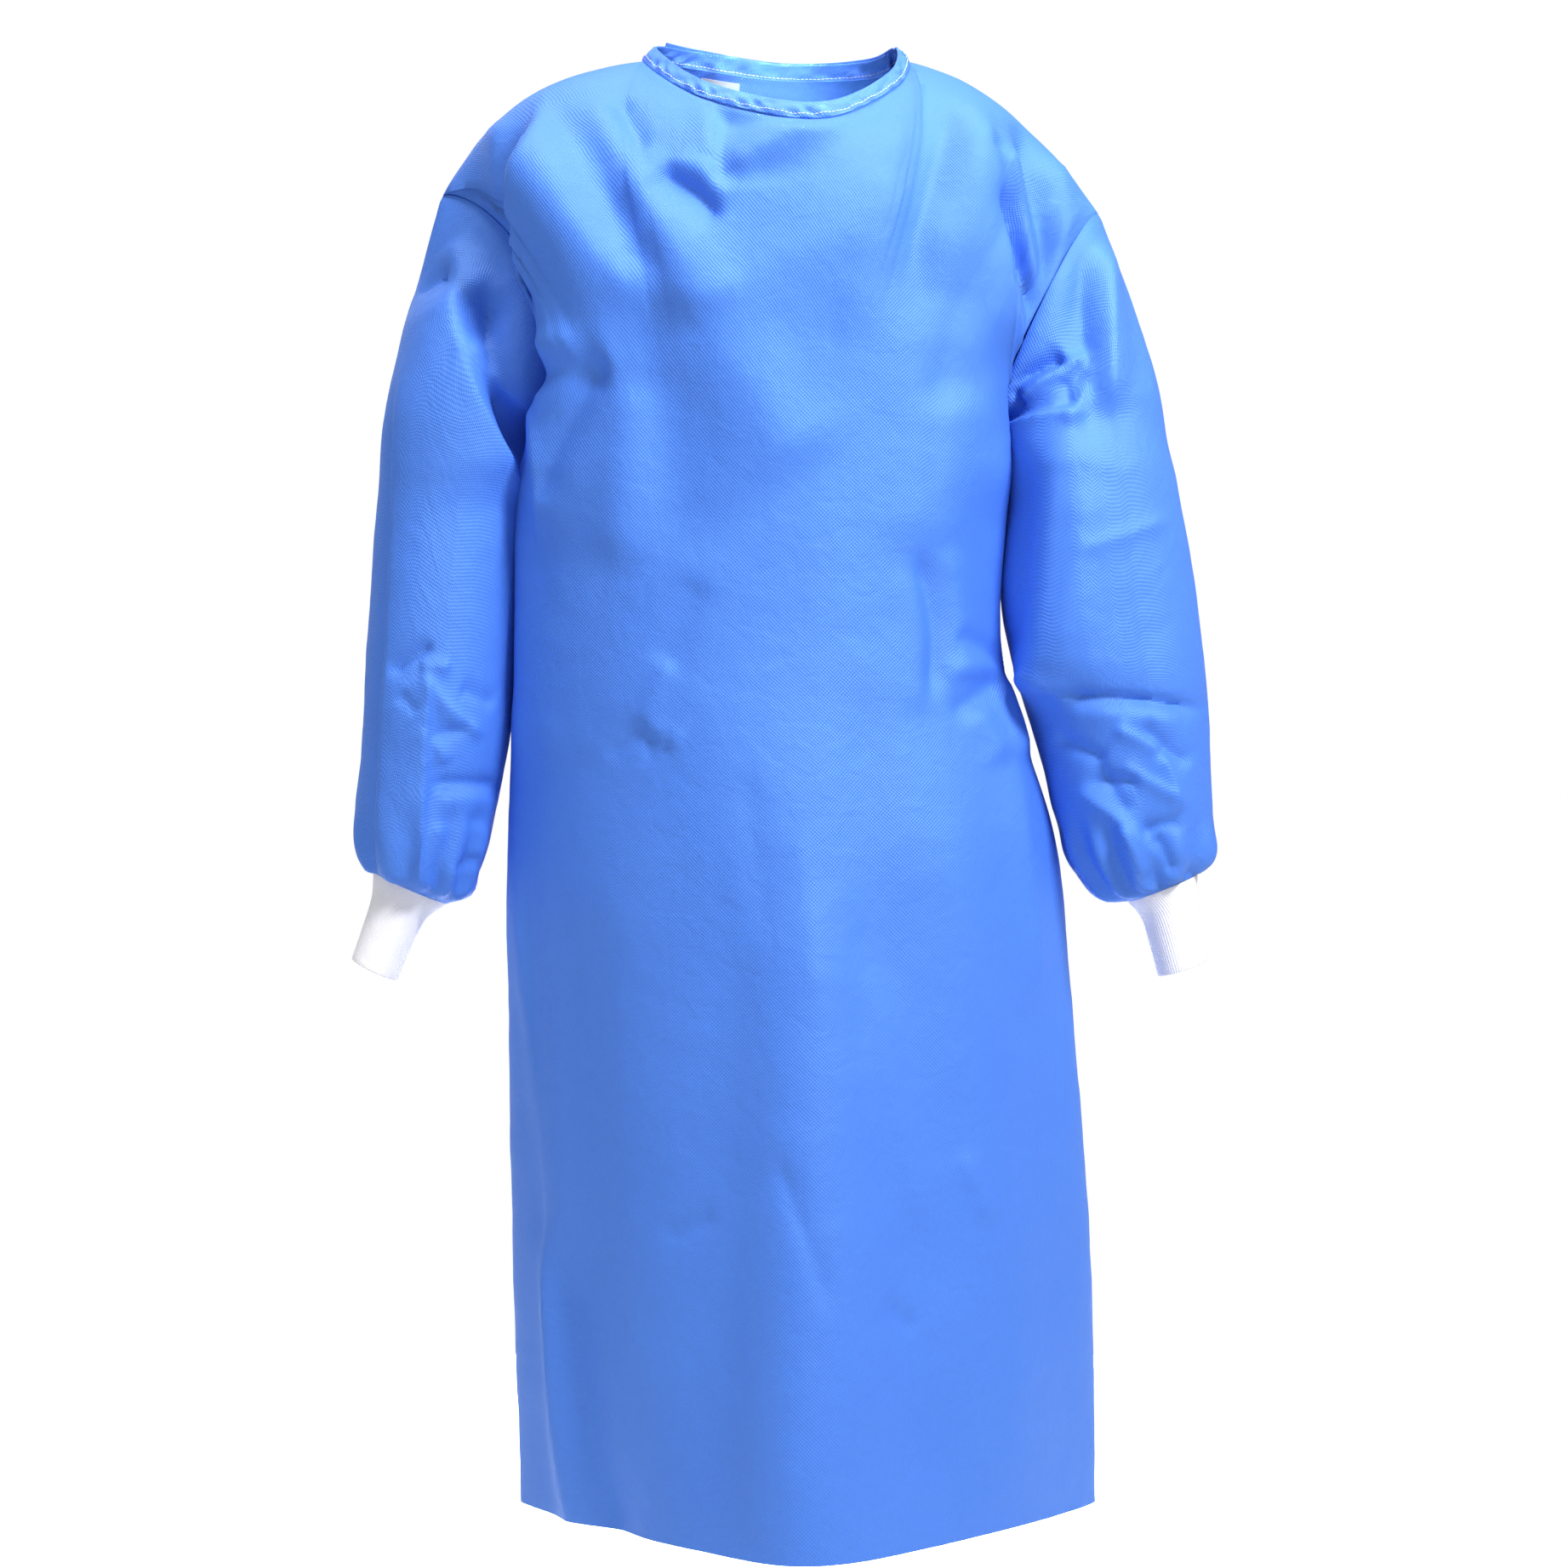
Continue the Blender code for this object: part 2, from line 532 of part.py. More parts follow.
def back_turns():
    """From the side to past the middle of the back, for the wearer's left panel."""
    return stretches(
        0.5,
        1 - TIP_TURN,
        ARMHOLE_FACES["back"],
        1 - NECK_TURN,
        SHOULDER_FACES,
        1 - LAP_TURN,
        BACK_NECK_FACES // 2,
        1.0,
        BACK_NECK_FACES // 2,
        1 + LAP_TURN,
        LAP_FACES,
    )


def lap_out(turn):
    """How far the wearer's left back panel stands out where it covers the other."""
    return LAP * ease((turn - (1 - LAP_TURN - LAP_RAMP)) / LAP_RAMP)


def over_lap(turn):
    """How far the wearer's right tie stands out, to pass over the edge of the outer panel."""
    return (LAP + SEAM_GAP) * ease((-turn - (1 - LAP_TURN - LAP_RAMP)) / LAP_RAMP)


def seam_normals(turn):
    """Normals along the body's top edge, leaning half-way to the sleeve's along the armholes."""
    facing = body_normals(turn, np.full_like(turn, 2.0))
    near = np.minimum(np.abs(turn), 1 - np.abs(turn))
    down = 0.5 * np.clip((near - TIP_TURN) / (0.5 - TIP_TURN), 0, 1)
    around = np.where(np.abs(turn) < 0.5, down, 1 - down)
    for side in (1, -1):
        sleeve = sleeve_normals(side, around, np.zeros_like(turn))
        here = (near > TIP_TURN - TINY) & (np.sign(turn) == side)
        facing = np.where(here[..., None], unit(facing + sleeve), facing)
    return facing


def sleeve_normals(side, turn, level):
    def surface(at_turn, at_level):
        return sleeve_surface(side, at_turn, at_level)

    return side * normals(surface, turn, level, top=1)


def panel_points(turns, out):
    """A body panel's outer points and normals, out being their extra distance off the body by turn."""
    turn, level = np.meshgrid(turns, body_levels())
    facing = body_normals(turn, level)
    facing[-1] = seam_normals(turns)
    return body_surface(turn, level) + facing * out(turn)[..., None], facing


def body_panel(name, turns, out=np.zeros_like):
    surface, facing = panel_points(turns, out)
    for edge, inner in ((0, 1), (-1, -2)):
        surface[:, edge] += unit(surface[:, inner] - surface[:, edge]) * SEAM_GAP / 2
    surface[-1] -= unit(surface[-1] - surface[-2]) * SEAM_GAP / 2
    return wall(name, surface, surface - facing * CLOTH, "cloth")


def sleeve_turns(side):
    """Shares of the way round a sleeve, matched to the body's points and in the same order."""
    return stretches(0.0, 0.5, ARMHOLE_FACES["front"], 1.0, ARMHOLE_FACES["back"])[:-1][::side]


def sleeve(name, side):
    turns = sleeve_turns(side)
    turn, level = np.meshgrid(turns, np.linspace(0, 1, SLEEVE_ROWS + 1))
    surface = sleeve_surface(side, turn, level)
    facing = sleeve_normals(side, turn, level)
    down = TIP_TURN + 2 * np.minimum(turns, 1 - turns) * (0.5 - TIP_TURN)
    facing[0] = seam_normals(side * np.where(turns < 0.5, down, 1 - down))
    surface[0] += unit(surface[1] - surface[0]) * SEAM_GAP / 2
    facing[-1] = unit(facing[-1] + unit(surface[-1] - surface[-1].mean(axis=0)))
    return wall(name, surface, surface - facing * CLOTH, "cloth", closed=True)


def cuff(name, side):
    """One knitted cuff, from the sleeve's last ring down."""
    turns = sleeve_turns(side)
    rings = [ring_point(ring, side, turns) for ring in (SLEEVES[side][-1], *CUFFS[side])]
    surface = through(np.arange(len(rings)), np.stack(rings), np.linspace(0, len(rings) - 1, CUFF_ROWS + 1))
    middles = surface.mean(axis=1, keepdims=True)
    surface[0] += unit(middles[1] - middles[0]) * 2 * SEAM_GAP
    return wall(name, surface, surface - unit(surface - middles) * KNIT, "knit", closed=True)


def binding():
    """The strip that binds the neckline, its ends lapped like the back panels."""
    front, back = front_turns(), back_turns()
    in_front = front[(front > TINY) & (front < NECK_TURN + TINY)]
    behind = back[back > 1 - NECK_TURN + TINY]
    half = np.concatenate([in_front, behind])
    turn = np.concatenate([-half[::-1], [0.0], half])
    edge = top_edge(turn)[0]
    cloth_facing = body_normals(turn, np.full_like(turn, 2.0))
    edge = edge + cloth_facing * lap_out(turn)[..., None]
    along = np.gradient(edge, axis=0)
    inwards = unit((NECKLINE[0].x / 2, 0, 0) - edge) * (1, 1, 0)
    heading = unit(BINDING_LEAN * inwards + (0, 0, 1))
    facing = unit(np.cross(along, heading))
    low = edge + unit(np.cross(cloth_facing, along)) * 2 * SEAM_GAP
    outer = np.stack([low, low + heading * BINDING / 2, low + heading * BINDING])
    inner = outer - np.stack([cloth_facing, facing, facing]) * BINDING_WALL
    return wall("neck_binding", outer, inner, "cloth")


def tie(name, turns, out):
    """A flat tie along the waist, made from the two rows of panel points at its edges, moved out."""
    points, facing = panel_points(turns, out)
    rows = slice(SKIRT_ROWS, SKIRT_ROWS + 2)
    inner = points[rows] + facing[rows] * TIE_GAP
    return wall(name, inner + facing[rows] * TIE_WALL, inner, "cloth")


def tie_tail(name, lean):
    """A tie's end that hangs free from the knot, leaning to one side as it falls."""
    share, across = np.meshgrid(np.linspace(0, 1, TAIL_FACES + 1), (-0.5, 0.5), indexing="ij")
    height = WAIST - KNOT_SIZE[2] / 2 - TAIL_DROP - TAIL * share
    width = TIE_WIDTH * (KNOT_PINCH + (1 - KNOT_PINCH) * ease(share / KNOT_REACH))
    turn = 1 + (lean * (TIE_WIDTH / 2 + TAIL_LEAN * share) + across * width) / BACK_ROUND
    facing = normals(body_form, turn, level_of(height), top=2)
    inner = body_form(turn, level_of(height)) + facing * TAIL_OUT
    return wall(name, inner + facing * TIE_WALL, inner, "cloth")


def knot():
    """The tie's knot at the middle of the back."""
    middle = body_surface(np.array(1.0), np.array(level_of(WAIST)))
    shape = bmesh.new()
    bmesh.ops.create_uvsphere(shape, u_segments=14, v_segments=9, radius=0.5)
    lift = LAP + TIE_GAP + KNOT_SIZE[1] / 2
    place = Matrix.Translation(middle + np.array((0, lift, 0))) @ Matrix.Diagonal((*KNOT_SIZE, 1))
    bmesh.ops.transform(shape, matrix=place, verts=shape.verts)
    return finish("tie_knot", shape, "cloth")


def patch():
    """The small woven patch on the inner side of the right back panel, between two of its columns."""
    points, facing = panel_points(-back_turns()[::-1], np.zeros_like)
    at = slice(PATCH_COLUMN - 1, PATCH_COLUMN + 1)
    corners = (points - facing * (CLOTH + PATCH_GAP))[-2:, at]
    row = np.linalg.norm(corners[1] - corners[0], axis=-1).mean()
    shares = 1 - (PATCH_TOP + PATCH_HEIGHT * np.array((1, 0))) / row
    outer = np.stack([corners[0] + (corners[1] - corners[0]) * share for share in shares])
    away = np.stack([facing[-2:, at].mean(axis=0)] * 2)
    return wall("neck_patch", outer, outer - away * PATCH_WALL, "patch")


def build():
    for piece in list(bpy.data.objects):
        bpy.data.objects.remove(piece)
    body_panel("front", front_turns())
    body_panel("back_left", back_turns(), out=lap_out)
    body_panel("back_right", -back_turns()[::-1])
    for side, name in ((1, "left"), (-1, "right")):
        sleeve(f"sleeve_{name}", side)
        cuff(f"cuff_{name}", side)
    binding()
    to_knot = back_turns()[: -LAP_FACES - 1]
    tie("tie_left", to_knot, lap_out)
    tie("tie_right", -to_knot[::-1], over_lap)
    tie_tail("tie_tail_left", -1)
    tie_tail("tie_tail_right", 1)
    knot()
    patch()


build()
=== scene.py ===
from collections import namedtuple
from math import cos, pi, radians, sin

import bpy
import numpy as np
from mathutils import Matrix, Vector, noise


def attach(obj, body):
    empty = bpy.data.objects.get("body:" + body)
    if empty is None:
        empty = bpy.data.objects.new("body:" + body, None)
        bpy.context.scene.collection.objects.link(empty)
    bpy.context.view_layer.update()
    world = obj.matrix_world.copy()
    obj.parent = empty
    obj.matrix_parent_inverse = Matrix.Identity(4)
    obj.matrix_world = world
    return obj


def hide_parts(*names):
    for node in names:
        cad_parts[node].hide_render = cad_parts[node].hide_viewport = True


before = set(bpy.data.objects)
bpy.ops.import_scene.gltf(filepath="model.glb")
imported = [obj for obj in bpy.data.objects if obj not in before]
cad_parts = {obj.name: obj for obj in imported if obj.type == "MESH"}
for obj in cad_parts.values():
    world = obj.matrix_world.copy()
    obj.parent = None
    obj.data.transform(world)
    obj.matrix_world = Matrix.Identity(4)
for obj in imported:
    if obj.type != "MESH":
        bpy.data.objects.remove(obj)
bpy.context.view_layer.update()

# Sizes of the gown, in metres
WALL = 0.0008  # thickness of the non-woven shells
KNIT = 0.0022  # the doubled knit of the cuffs
HEM = -1.136
YOKE = -0.345  # the level ring just under the armholes
WAIST = -0.473
BINDING = 0.0115  # height of the neck binding
BINDING_WALL = 0.0016
BINDING_OUT = 0.0009  # the binding stands this far out over the panels
LAP = 0.0045  # the outer back panel stands this far off the inner one
SEAM_DIP = 0.0012  # cloth turns inwards by this much at a seam
STITCHED_ROW = 0.25  # the row of stitches is this share of the way up the binding
BACK_ROUND = 0.64  # a turn of 1 is this far round at the middle of the back
NECK_ROUND = 1.15  # and this far along the back of the neckline

# The ties, their free ends and the knot
TIE_WIDTH = 0.030
TIE_WALL = 0.0008
TIE_GAP = 0.0009  # the ties lie this far off the panels
TAIL = 0.23  # length of a free end
TAIL_LEAN = 0.05  # it strays this far to its side
TAIL_OUT = 0.014  # and hangs this far off the back
TAIL_OPENS = 1 / 3  # it spreads from the knot over this share of its length
TAIL_PLEAT = 0.003
TAIL_PLEATS = 1.5
TAIL_PLEATED = 0.5  # the pleats run out over this share of its length
TAIL_WAVE = 0.002
TAIL_WAVES = 2.2
TAIL_WAVE_SLANT = 0.4
KNOT_SIZE = (0.042, 0.018, 0.030)
KNOT_PINCH = 0.55  # the ties' width at the knot, as a share of their own
KNOT_FOLD = 0.09  # the folds' height, as a share of the knot's half size
KNOT_FOLDS = 3
KNOT_WIND = 2.6
KNOT_END = 0.04  # share of the way along at which its ends are cut off

# Shares of the way round from the middle of the front (0) to the side (0.5) and middle of the back (1)
NECK_TURN = 0.13  # the neck point
TIP_TURN = 0.25  # the top of the armhole
LAP_TURN = 0.09  # the back panels lap over each other by this much either way
LAP_RAMP = 0.035  # the outer one rises to its lap over this much

# How the folds fade, and how strong they are
FOLD_FADE = 0.22  # share of a fold's length over which each end fades
CUSP = 0.07  # how tightly a crisp fold's crest is rounded
FACING = 0.5  # folds are in full where the cloth faces the front or back by this much
CALM = 0.018  # and this far below the top edge
PRESS = 0.035  # the tie presses the back's folds flat over this height
SLEEVE_CALM = 0.05  # sleeve folds are in full this share of the way below the armhole
CUFF_CALM = 0.03  # and above the cuff seam
UNEVEN = 0.0008  # height of the cloth's slow unevenness
UNEVEN_SIZE = 0.055
UNEVEN_FRACTAL = (1.0, 2.2, 3)  # its roughness, step in scale and number of scales
SHARP = 60  # edges that bend more than this, in degrees, look sharp

# The body's form
HANDLES = (0.38, 0.34)  # how long the cloth keeps its heading at the yoke and at the top edge
RING_STEP = 0.01
SLOPE_STEP = 0.004  # step in turn and level over which slopes are measured
OVAL_POWER = 2.2
PROW = 0.28  # how blunt the forward ridge is
WING_TURN = 0.42  # where the skirt's corners are
WING_SPREAD = 0.05

# Faces of the grids
SKIRT_ROWS = 120
TIE_ROWS = 6
MIDRIFF_ROWS = 24
YOKE_ROWS = 74
NECK_FACES = 72
BACK_NECK_FACES = 24
SHOULDER_FACES = 24
LAP_FACES = 10
BINDING_FACES = {"front": 80, "back": 110}
BINDING_ROWS = 10
ARMHOLE_FACES = {"front": 43, "back": 36}
SLEEVE_ROWS = 150
SLEEVE_FINER = 2  # a sleeve has this many faces to one of the armhole
CUFF_ROWS = 24
TIE_FACES = 8  # across a tie
TAIL_ROWS = 60
KNOT_SIDES = 72
KNOT_ROWS = 40
PATCH_FACES = 8
HEM_ARC = 6  # faces round a folded edge

# How the top edge is evened out for the cloth under it
Evened = namedtuple("Evened", "shift share")
EVENED = (Evened(-0.045, 1), Evened(-0.0225, 2), Evened(0.0, 3), Evened(0.0225, 2), Evened(0.045, 1))
EVENED_UP_TO = 0.6  # above this share of the rise the cloth turns to the true edge

# The body's level sections, and the forward ridge and corners of each
Section = namedtuple("Section", "height right left crest front back oval wing")
BODY = (
    Section(HEM, 0.206, 0.244, 0.015, 0.208, 0.165, 0.10, 0.000),
    Section(-0.960, 0.212, 0.241, 0.012, 0.194, 0.160, 0.25, 0.000),
    Section(-0.760, 0.215, 0.226, 0.006, 0.174, 0.150, 0.45, 0.002),
    Section(-0.620, 0.215, 0.211, 0.000, 0.158, 0.140, 0.65, 0.004),
    Section(WAIST, 0.206, 0.167, -0.015, 0.138, 0.114, 0.90, 0.006),
    Section(YOKE, 0.199, 0.165, -0.014, 0.130, 0.110, 1.00, 0.013),
)

# The neckline by angle: 0 in front, 90 at the wearer's left, 180 behind
Corner = namedtuple("Corner", "angle x y z")
NECKLINE = (
    Corner(0, 0.025, -0.105, -0.073),
    Corner(45, 0.083, -0.066, -0.042),
    Corner(90, 0.095, -0.004, -0.008),
    Corner(135, 0.070, 0.046, -0.010),
    Corner(180, 0.000, 0.063, -0.009),
    Corner(225, -0.075, 0.047, -0.002),
    Corner(270, -0.109, -0.004, -0.008),
    Corner(315, -0.062, -0.072, -0.050),
)

# The way the cloth heads where it meets its top edge: outwards, over the shoulder, and up
Heading = namedtuple("Heading", "turn out over up")
HEADINGS = (
    Heading(-NECK_TURN, 0.2, 0.90, 0.30),
    Heading(0.0, 0.0, 0.45, 0.90),
    Heading(NECK_TURN, -0.2, 0.90, 0.30),
    Heading((NECK_TURN + TIP_TURN) / 2, 0.1, 1.00, 0.00),
    Heading(TIP_TURN, 0.7, 0.70, -0.15),
    Heading((TIP_TURN + 0.5) / 2, 0.8, 0.40, 0.30),
    Heading(0.5, 0.0, 0.00, 1.00),
)

# A side's shoulder seam and armhole; side 1 is the wearer's left
Shoulder = namedtuple("Shoulder", "crown tip pit front back")
SHOULDERS = {
    1: Shoulder(
        crown=(0.178, 0.0, -0.028),
        tip=(0.247, 0.0, -0.126),
        pit=(0.162, 0.005, -0.308),
        front=(-0.016, -0.054, -0.006),
        back=(0.0, 0.052, 0.0),
    ),
    -1: Shoulder(
        crown=(-0.221, 0.0, -0.020),
        tip=(-0.268, 0.0, -0.112),
        pit=(-0.200, 0.005, -0.300),
        front=(0.056, -0.044, -0.004),
        back=(0.0, 0.050, 0.0),
    ),
}

# Rings of the sleeves and the cuffs: middle, half sizes, and tilt of the outer side in degrees
Ring = namedtuple("Ring", "x y z half_width half_depth tilt")
SLEEVES = {
    1: (
        Ring(0.2260, -0.002, -0.2610, 0.0660, 0.066, 32),
        Ring(0.2370, -0.006, -0.3350, 0.0665, 0.067, 14),
        Ring(0.2445, -0.011, -0.4250, 0.0755, 0.069, 4),
        Ring(0.2540, -0.015, -0.4900, 0.0735, 0.069, 0),
        Ring(0.2660, -0.021, -0.5600, 0.0652, 0.065, 0),
        Ring(0.2720, -0.026, -0.6050, 0.0600, 0.058, 0),
        Ring(0.2780, -0.031, -0.6370, 0.0520, 0.048, 5),
        Ring(0.2840, -0.034, -0.6520, 0.0390, 0.036, 17),
        Ring(0.2925, -0.036, -0.6540, 0.0290, 0.028, 22),
    ),
    -1: (
        Ring(-0.2480, -0.002, -0.2730, 0.0600, 0.065, 20),
        Ring(-0.2575, -0.006, -0.3600, 0.0600, 0.066, 8),
        Ring(-0.2650, -0.011, -0.4500, 0.0585, 0.066, 3),
        Ring(-0.2720, -0.017, -0.5500, 0.0565, 0.064, 0),
        Ring(-0.2795, -0.023, -0.6070, 0.0525, 0.057, 0),
        Ring(-0.2820, -0.028, -0.6360, 0.0450, 0.048, 6),
        Ring(-0.2840, -0.031, -0.6520, 0.0380, 0.038, 18),
        Ring(-0.2890, -0.033, -0.6540, 0.0310, 0.029, 24),
    ),
}
CUFFS = {
    1: (
        Ring(0.2970, -0.038, -0.6700, 0.0225, 0.0255, 19),
        Ring(0.3010, -0.043, -0.6920, 0.0200, 0.0238, 17),
        Ring(0.3061, -0.049, -0.7145, 0.0197, 0.0230, 19),
    ),
    -1: (
        Ring(-0.2975, -0.036, -0.6700, 0.0225, 0.0260, 22),
        Ring(-0.3065, -0.042, -0.6930, 0.0200, 0.0240, 22),
        Ring(-0.3145, -0.048, -0.7155, 0.0192, 0.0230, 26),
    ),
}

# A fold seen from the front, from its upper or left end to its lower or right one, in millimetres. bend bows
# it to the plus side, which is right of a fold that runs down and above one that runs across. rise lifts the
# cloth, or sinks it below 0; minus and plus are how wide it falls away on each side; crisp 1 is a sharp crest
MILLIMETRE = 0.001
Fold = namedtuple("Fold", "x0 z0 x1 z1 bend rise minus plus crisp")
FRONT_FOLDS = (
    # the chest's edges over the sleeves
    Fold(-188, -46, -182, -410, 4, 20, 12, 42, 0.5),
    Fold(-190, -30, -172, -310, 1, 10, 4, 26, 0.8),
    Fold(-200, -350, -204, -580, 2, 5, 10, 40, 0.4),
    Fold(146, -40, 168, -260, 4, 9, 40, 9, 0.6),
    Fold(164, -130, 162, -380, 2, 9, 40, 9, 0.6),
    # the sleeve head on the wearer's left
    Fold(158, -112, 196, -222, 0, -13, 7, 8, 0.5),
    Fold(164, -70, 193, -210, 4, 10, 8, 13, 0.4),
    Fold(182, -50, 208, -235, 4, -15, 11, 10, 0.5),
    Fold(208, -75, 218, -200, 2, 7, 10, 18, 0.2),
    Fold(172, -185, 178, -250, 0, 8, 6, 8, 0.3),
    Fold(154, -84, 170, -92, 0, -5, 5, 4, 0.5),
    # drape from the wearer's right shoulder
    Fold(-222, -50, -216, -170, 0, 6, 12, 12, 0.2),
    Fold(-194, -75, -100, -222, -8, 9, 22, 18, 0.3),
    Fold(-188, -40, -78, -212, -4, -6, 18, 16, 0.1),
    Fold(-150, -46, -86, -160, -4, 4, 13, 18, 0.2),
    Fold(-128, -50, -106, -104, 2, -5, 7, 9, 0.3),
    Fold(-118, -100, -56, -236, -6, 6, 18, 24, 0.2),
    # dents under the neckline
    Fold(-100, -114, -46, -158, 8, -10, 17, 7, 0.5),
    Fold(-90, -104, -42, -138, 6, 4, 7, 16, 0.4),
    Fold(-48, -36, -45, -134, -1, -9.5, 7, 42, 0.3),
    Fold(-54, -50, -51, -126, 0, 2.5, 10, 7, 0.3),
    Fold(-52, -118, 50, -68, 0, 12, 12, 24, 0.5),
    Fold(-64, -103, -50, -105, 0, -2, 3, 3, 0.5),
    # the chest's lower border of light
    Fold(-104, -140, -48, -232, 0, 6, 28, 30, 0.2),
    Fold(-80, -222, 116, -118, -4, 7, 34, 44, 0.2),
    Fold(-78, -212, 18, -350, 4, 9, 40, 36, 0.2),
    Fold(-118, -200, -70, -420, 6, -6, 30, 34, 0.1),
    # the drape from the wearer's left shoulder
    Fold(134, -48, 92, -190, 0, -9, 20, 12, 0.3),
    Fold(136, -40, 152, -250, 4, 5, 14, 18, 0.2),
    Fold(90, -60, 52, -250, 0, 4, 24, 20, 0.1),
    Fold(92, -160, 120, -300, 6, -8, 20, 26, 0.2),
    Fold(126, -200, 98, -420, 10, 8, 36, 34, 0.1),
    # drag to the armpit on the wearer's right
    Fold(-200, -274, -126, -258, 2, -9, 14, 16, 0.5),
    Fold(-132, -252, -180, -366, -4, -8, 12, 14, 0.5),
    Fold(-142, -236, -200, -250, 0, 6, 12, 14, 0.3),
    Fold(-112, -262, -124, -420, 0, 6, 20, 20, 0.1),
    # pull to the tie on the wearer's left
    Fold(96, -396, 108, -516, 11, -7, 10, 9, 0.6),
    Fold(120, -390, 136, -500, 4, 5, 12, 16, 0.2),
    Fold(90, -396, 96, -530, 9, 4, 20, 10, 0.3),
    Fold(126, -462, 170, -480, 3, -5, 6, 7, 0.6),
    Fold(118, -492, 168, -486, 2, 5, 7, 8, 0.4),
    Fold(124, -524, 170, -490, 0, -5, 7, 8, 0.5),
    Fold(140, -516, 164, -560, 2, 5, 8, 10, 0.4),
    Fold(166, -485, 180, -560, 2, 6, 6, 10, 0.5),
    Fold(160, -480, 194, -760, 6, 6, 14, 14, 0.4),
    Fold(60, -480, 52, -800, 6, -3, 22, 22, 0.1),
    # the crumple over the wearer's right hip
    Fold(-110, -540, -82, -478, 0, 3.2, 7, 10, 0.7),
    Fold(-132, -556, -102, -528, 0, -2.2, 6, 9, 0.6),
    Fold(-107, -522, -98, -562, 0, -2, 5, 6, 0.7),
    Fold(-106, -530, -72, -546, 0, 2.4, 5, 8, 0.7),
    Fold(-104, -540, -82, -548, 0, -1.8, 4, 4, 0.7),
    Fold(-95, -490, -60, -420, 0, -3, 14, 16, 0.2),
    # the skirt
    Fold(110, -500, 190, -1170, 0, 8, 40, 35, 0.2),
    Fold(70, -600, 110, -1170, 0, -6, 35, 35, 0.1),
    Fold(60, -700, 104, -920, 3, 3, 10, 14, 0.3),
    Fold(30, -620, 2, -1190, 0, 8, 40, 45, 0.2),
    Fold(-34, -600, -52, -1190, 0, -6, 35, 35, 0.1),
    Fold(-120, -560, -110, -1160, 0, 5, 40, 40, 0.1),
    Fold(-214, -600, -168, -1180, 12, 9, 9, 24, 0.5),
    Fold(-198, -620, -182, -980, 4, -5, 8, 12, 0.4),
    Fold(-184, -900, -156, -1180, 2, 7, 8, 14, 0.5),
    Fold(-166, -920, -116, -1170, -6, -8, 12, 18, 0.4),
    Fold(-9, -840, 34, -966, 3, -3, 6, 10, 0.6),
    Fold(74, -950, 102, -978, 0, -3, 6, 6, 0.5),
    Fold(128, -845, 150, -904, 0, 3, 7, 9, 0.5),
    Fold(-90, -910, -50, -888, 0, -2.5, 6, 6, 0.5),
    Fold(10, -600, 24, -740, 0, 1.8, 12, 12, 0.2),
    Fold(-30, -560, -12, -700, 0, -1.6, 12, 12, 0.2),
)
BACK_FOLDS = (
    # shoulder blades and drapes from the neck
    Fold(130, -60, 120, -420, 0, 10, 30, 30, 0.2),
    Fold(-140, -60, -120, -420, 0, 10, 30, 30, 0.2),
    Fold(50, -40, 110, -200, 6, -6, 14, 18, 0.3),
    Fold(-60, -50, -108, -200, -6, -6, 18, 14, 0.3),
    Fold(70, -120, 40, -300, 6, 4, 16, 20, 0.2),
    # drag to the armpits
    Fold(90, -220, 166, -300, 0, 7, 12, 14, 0.5),
    Fold(120, -220, 170, -270, 0, -6, 10, 10, 0.4),
    Fold(-180, -300, -100, -230, 0, 7, 12, 14, 0.5),
    Fold(-178, -266, -130, -226, 0, -5, 10, 10, 0.4),
    Fold(-100, -330, -170, -380, -4, -4, 10, 12, 0.4),
    # gathers held by the tie
    Fold(130, -380, 140, -820, 0, 12, 16, 20, 0.3),
    Fold(85, -380, 90, -780, 0, -11, 18, 18, 0.2),
    Fold(45, -390, 55, -900, 0, 8, 20, 20, 0.3),
    Fold(112, -480, 102, -660, 2, 5, 7, 10, 0.6),
    Fold(64, -486, 74, -600, 3, -4, 7, 8, 0.5),
    Fold(-150, -380, -165, -840, 0, 12, 20, 16, 0.3),
    Fold(-105, -380, -112, -740, 0, -11, 18, 18, 0.2),
    Fold(-60, -390, -68, -880, 0, 8, 20, 20, 0.3),
    Fold(-82, -482, -88, -640, 2, 5, 7, 10, 0.6),
    Fold(-128, -484, -120, -590, -2, -4, 7, 8, 0.5),
    Fold(-136, -320, -84, -446, 4, 5, 8, 12, 0.5),
    Fold(132, -310, 68, -452, -4, 5, 12, 8, 0.5),
    Fold(20, -330, 6, -462, 0, -4, 12, 12, 0.3),
    # the skirt
    Fold(150, -760, 178, -1170, 0, 11, 28, 26, 0.3),
    Fold(90, -820, 104, -1170, 2, -6, 20, 20, 0.3),
    Fold(-140, -740, -156, -1170, 0, 11, 26, 28, 0.3),
    Fold(-80, -830, -90, -1170, 2, 6, 14, 22, 0.3),
    Fold(20, -680, 30, -1170, 0, -8, 35, 35, 0.1),
    Fold(-40, -760, 10, -870, 4, -3, 7, 10, 0.5),
    Fold(110, -900, 140, -940, 0, 3, 6, 8, 0.5),
)
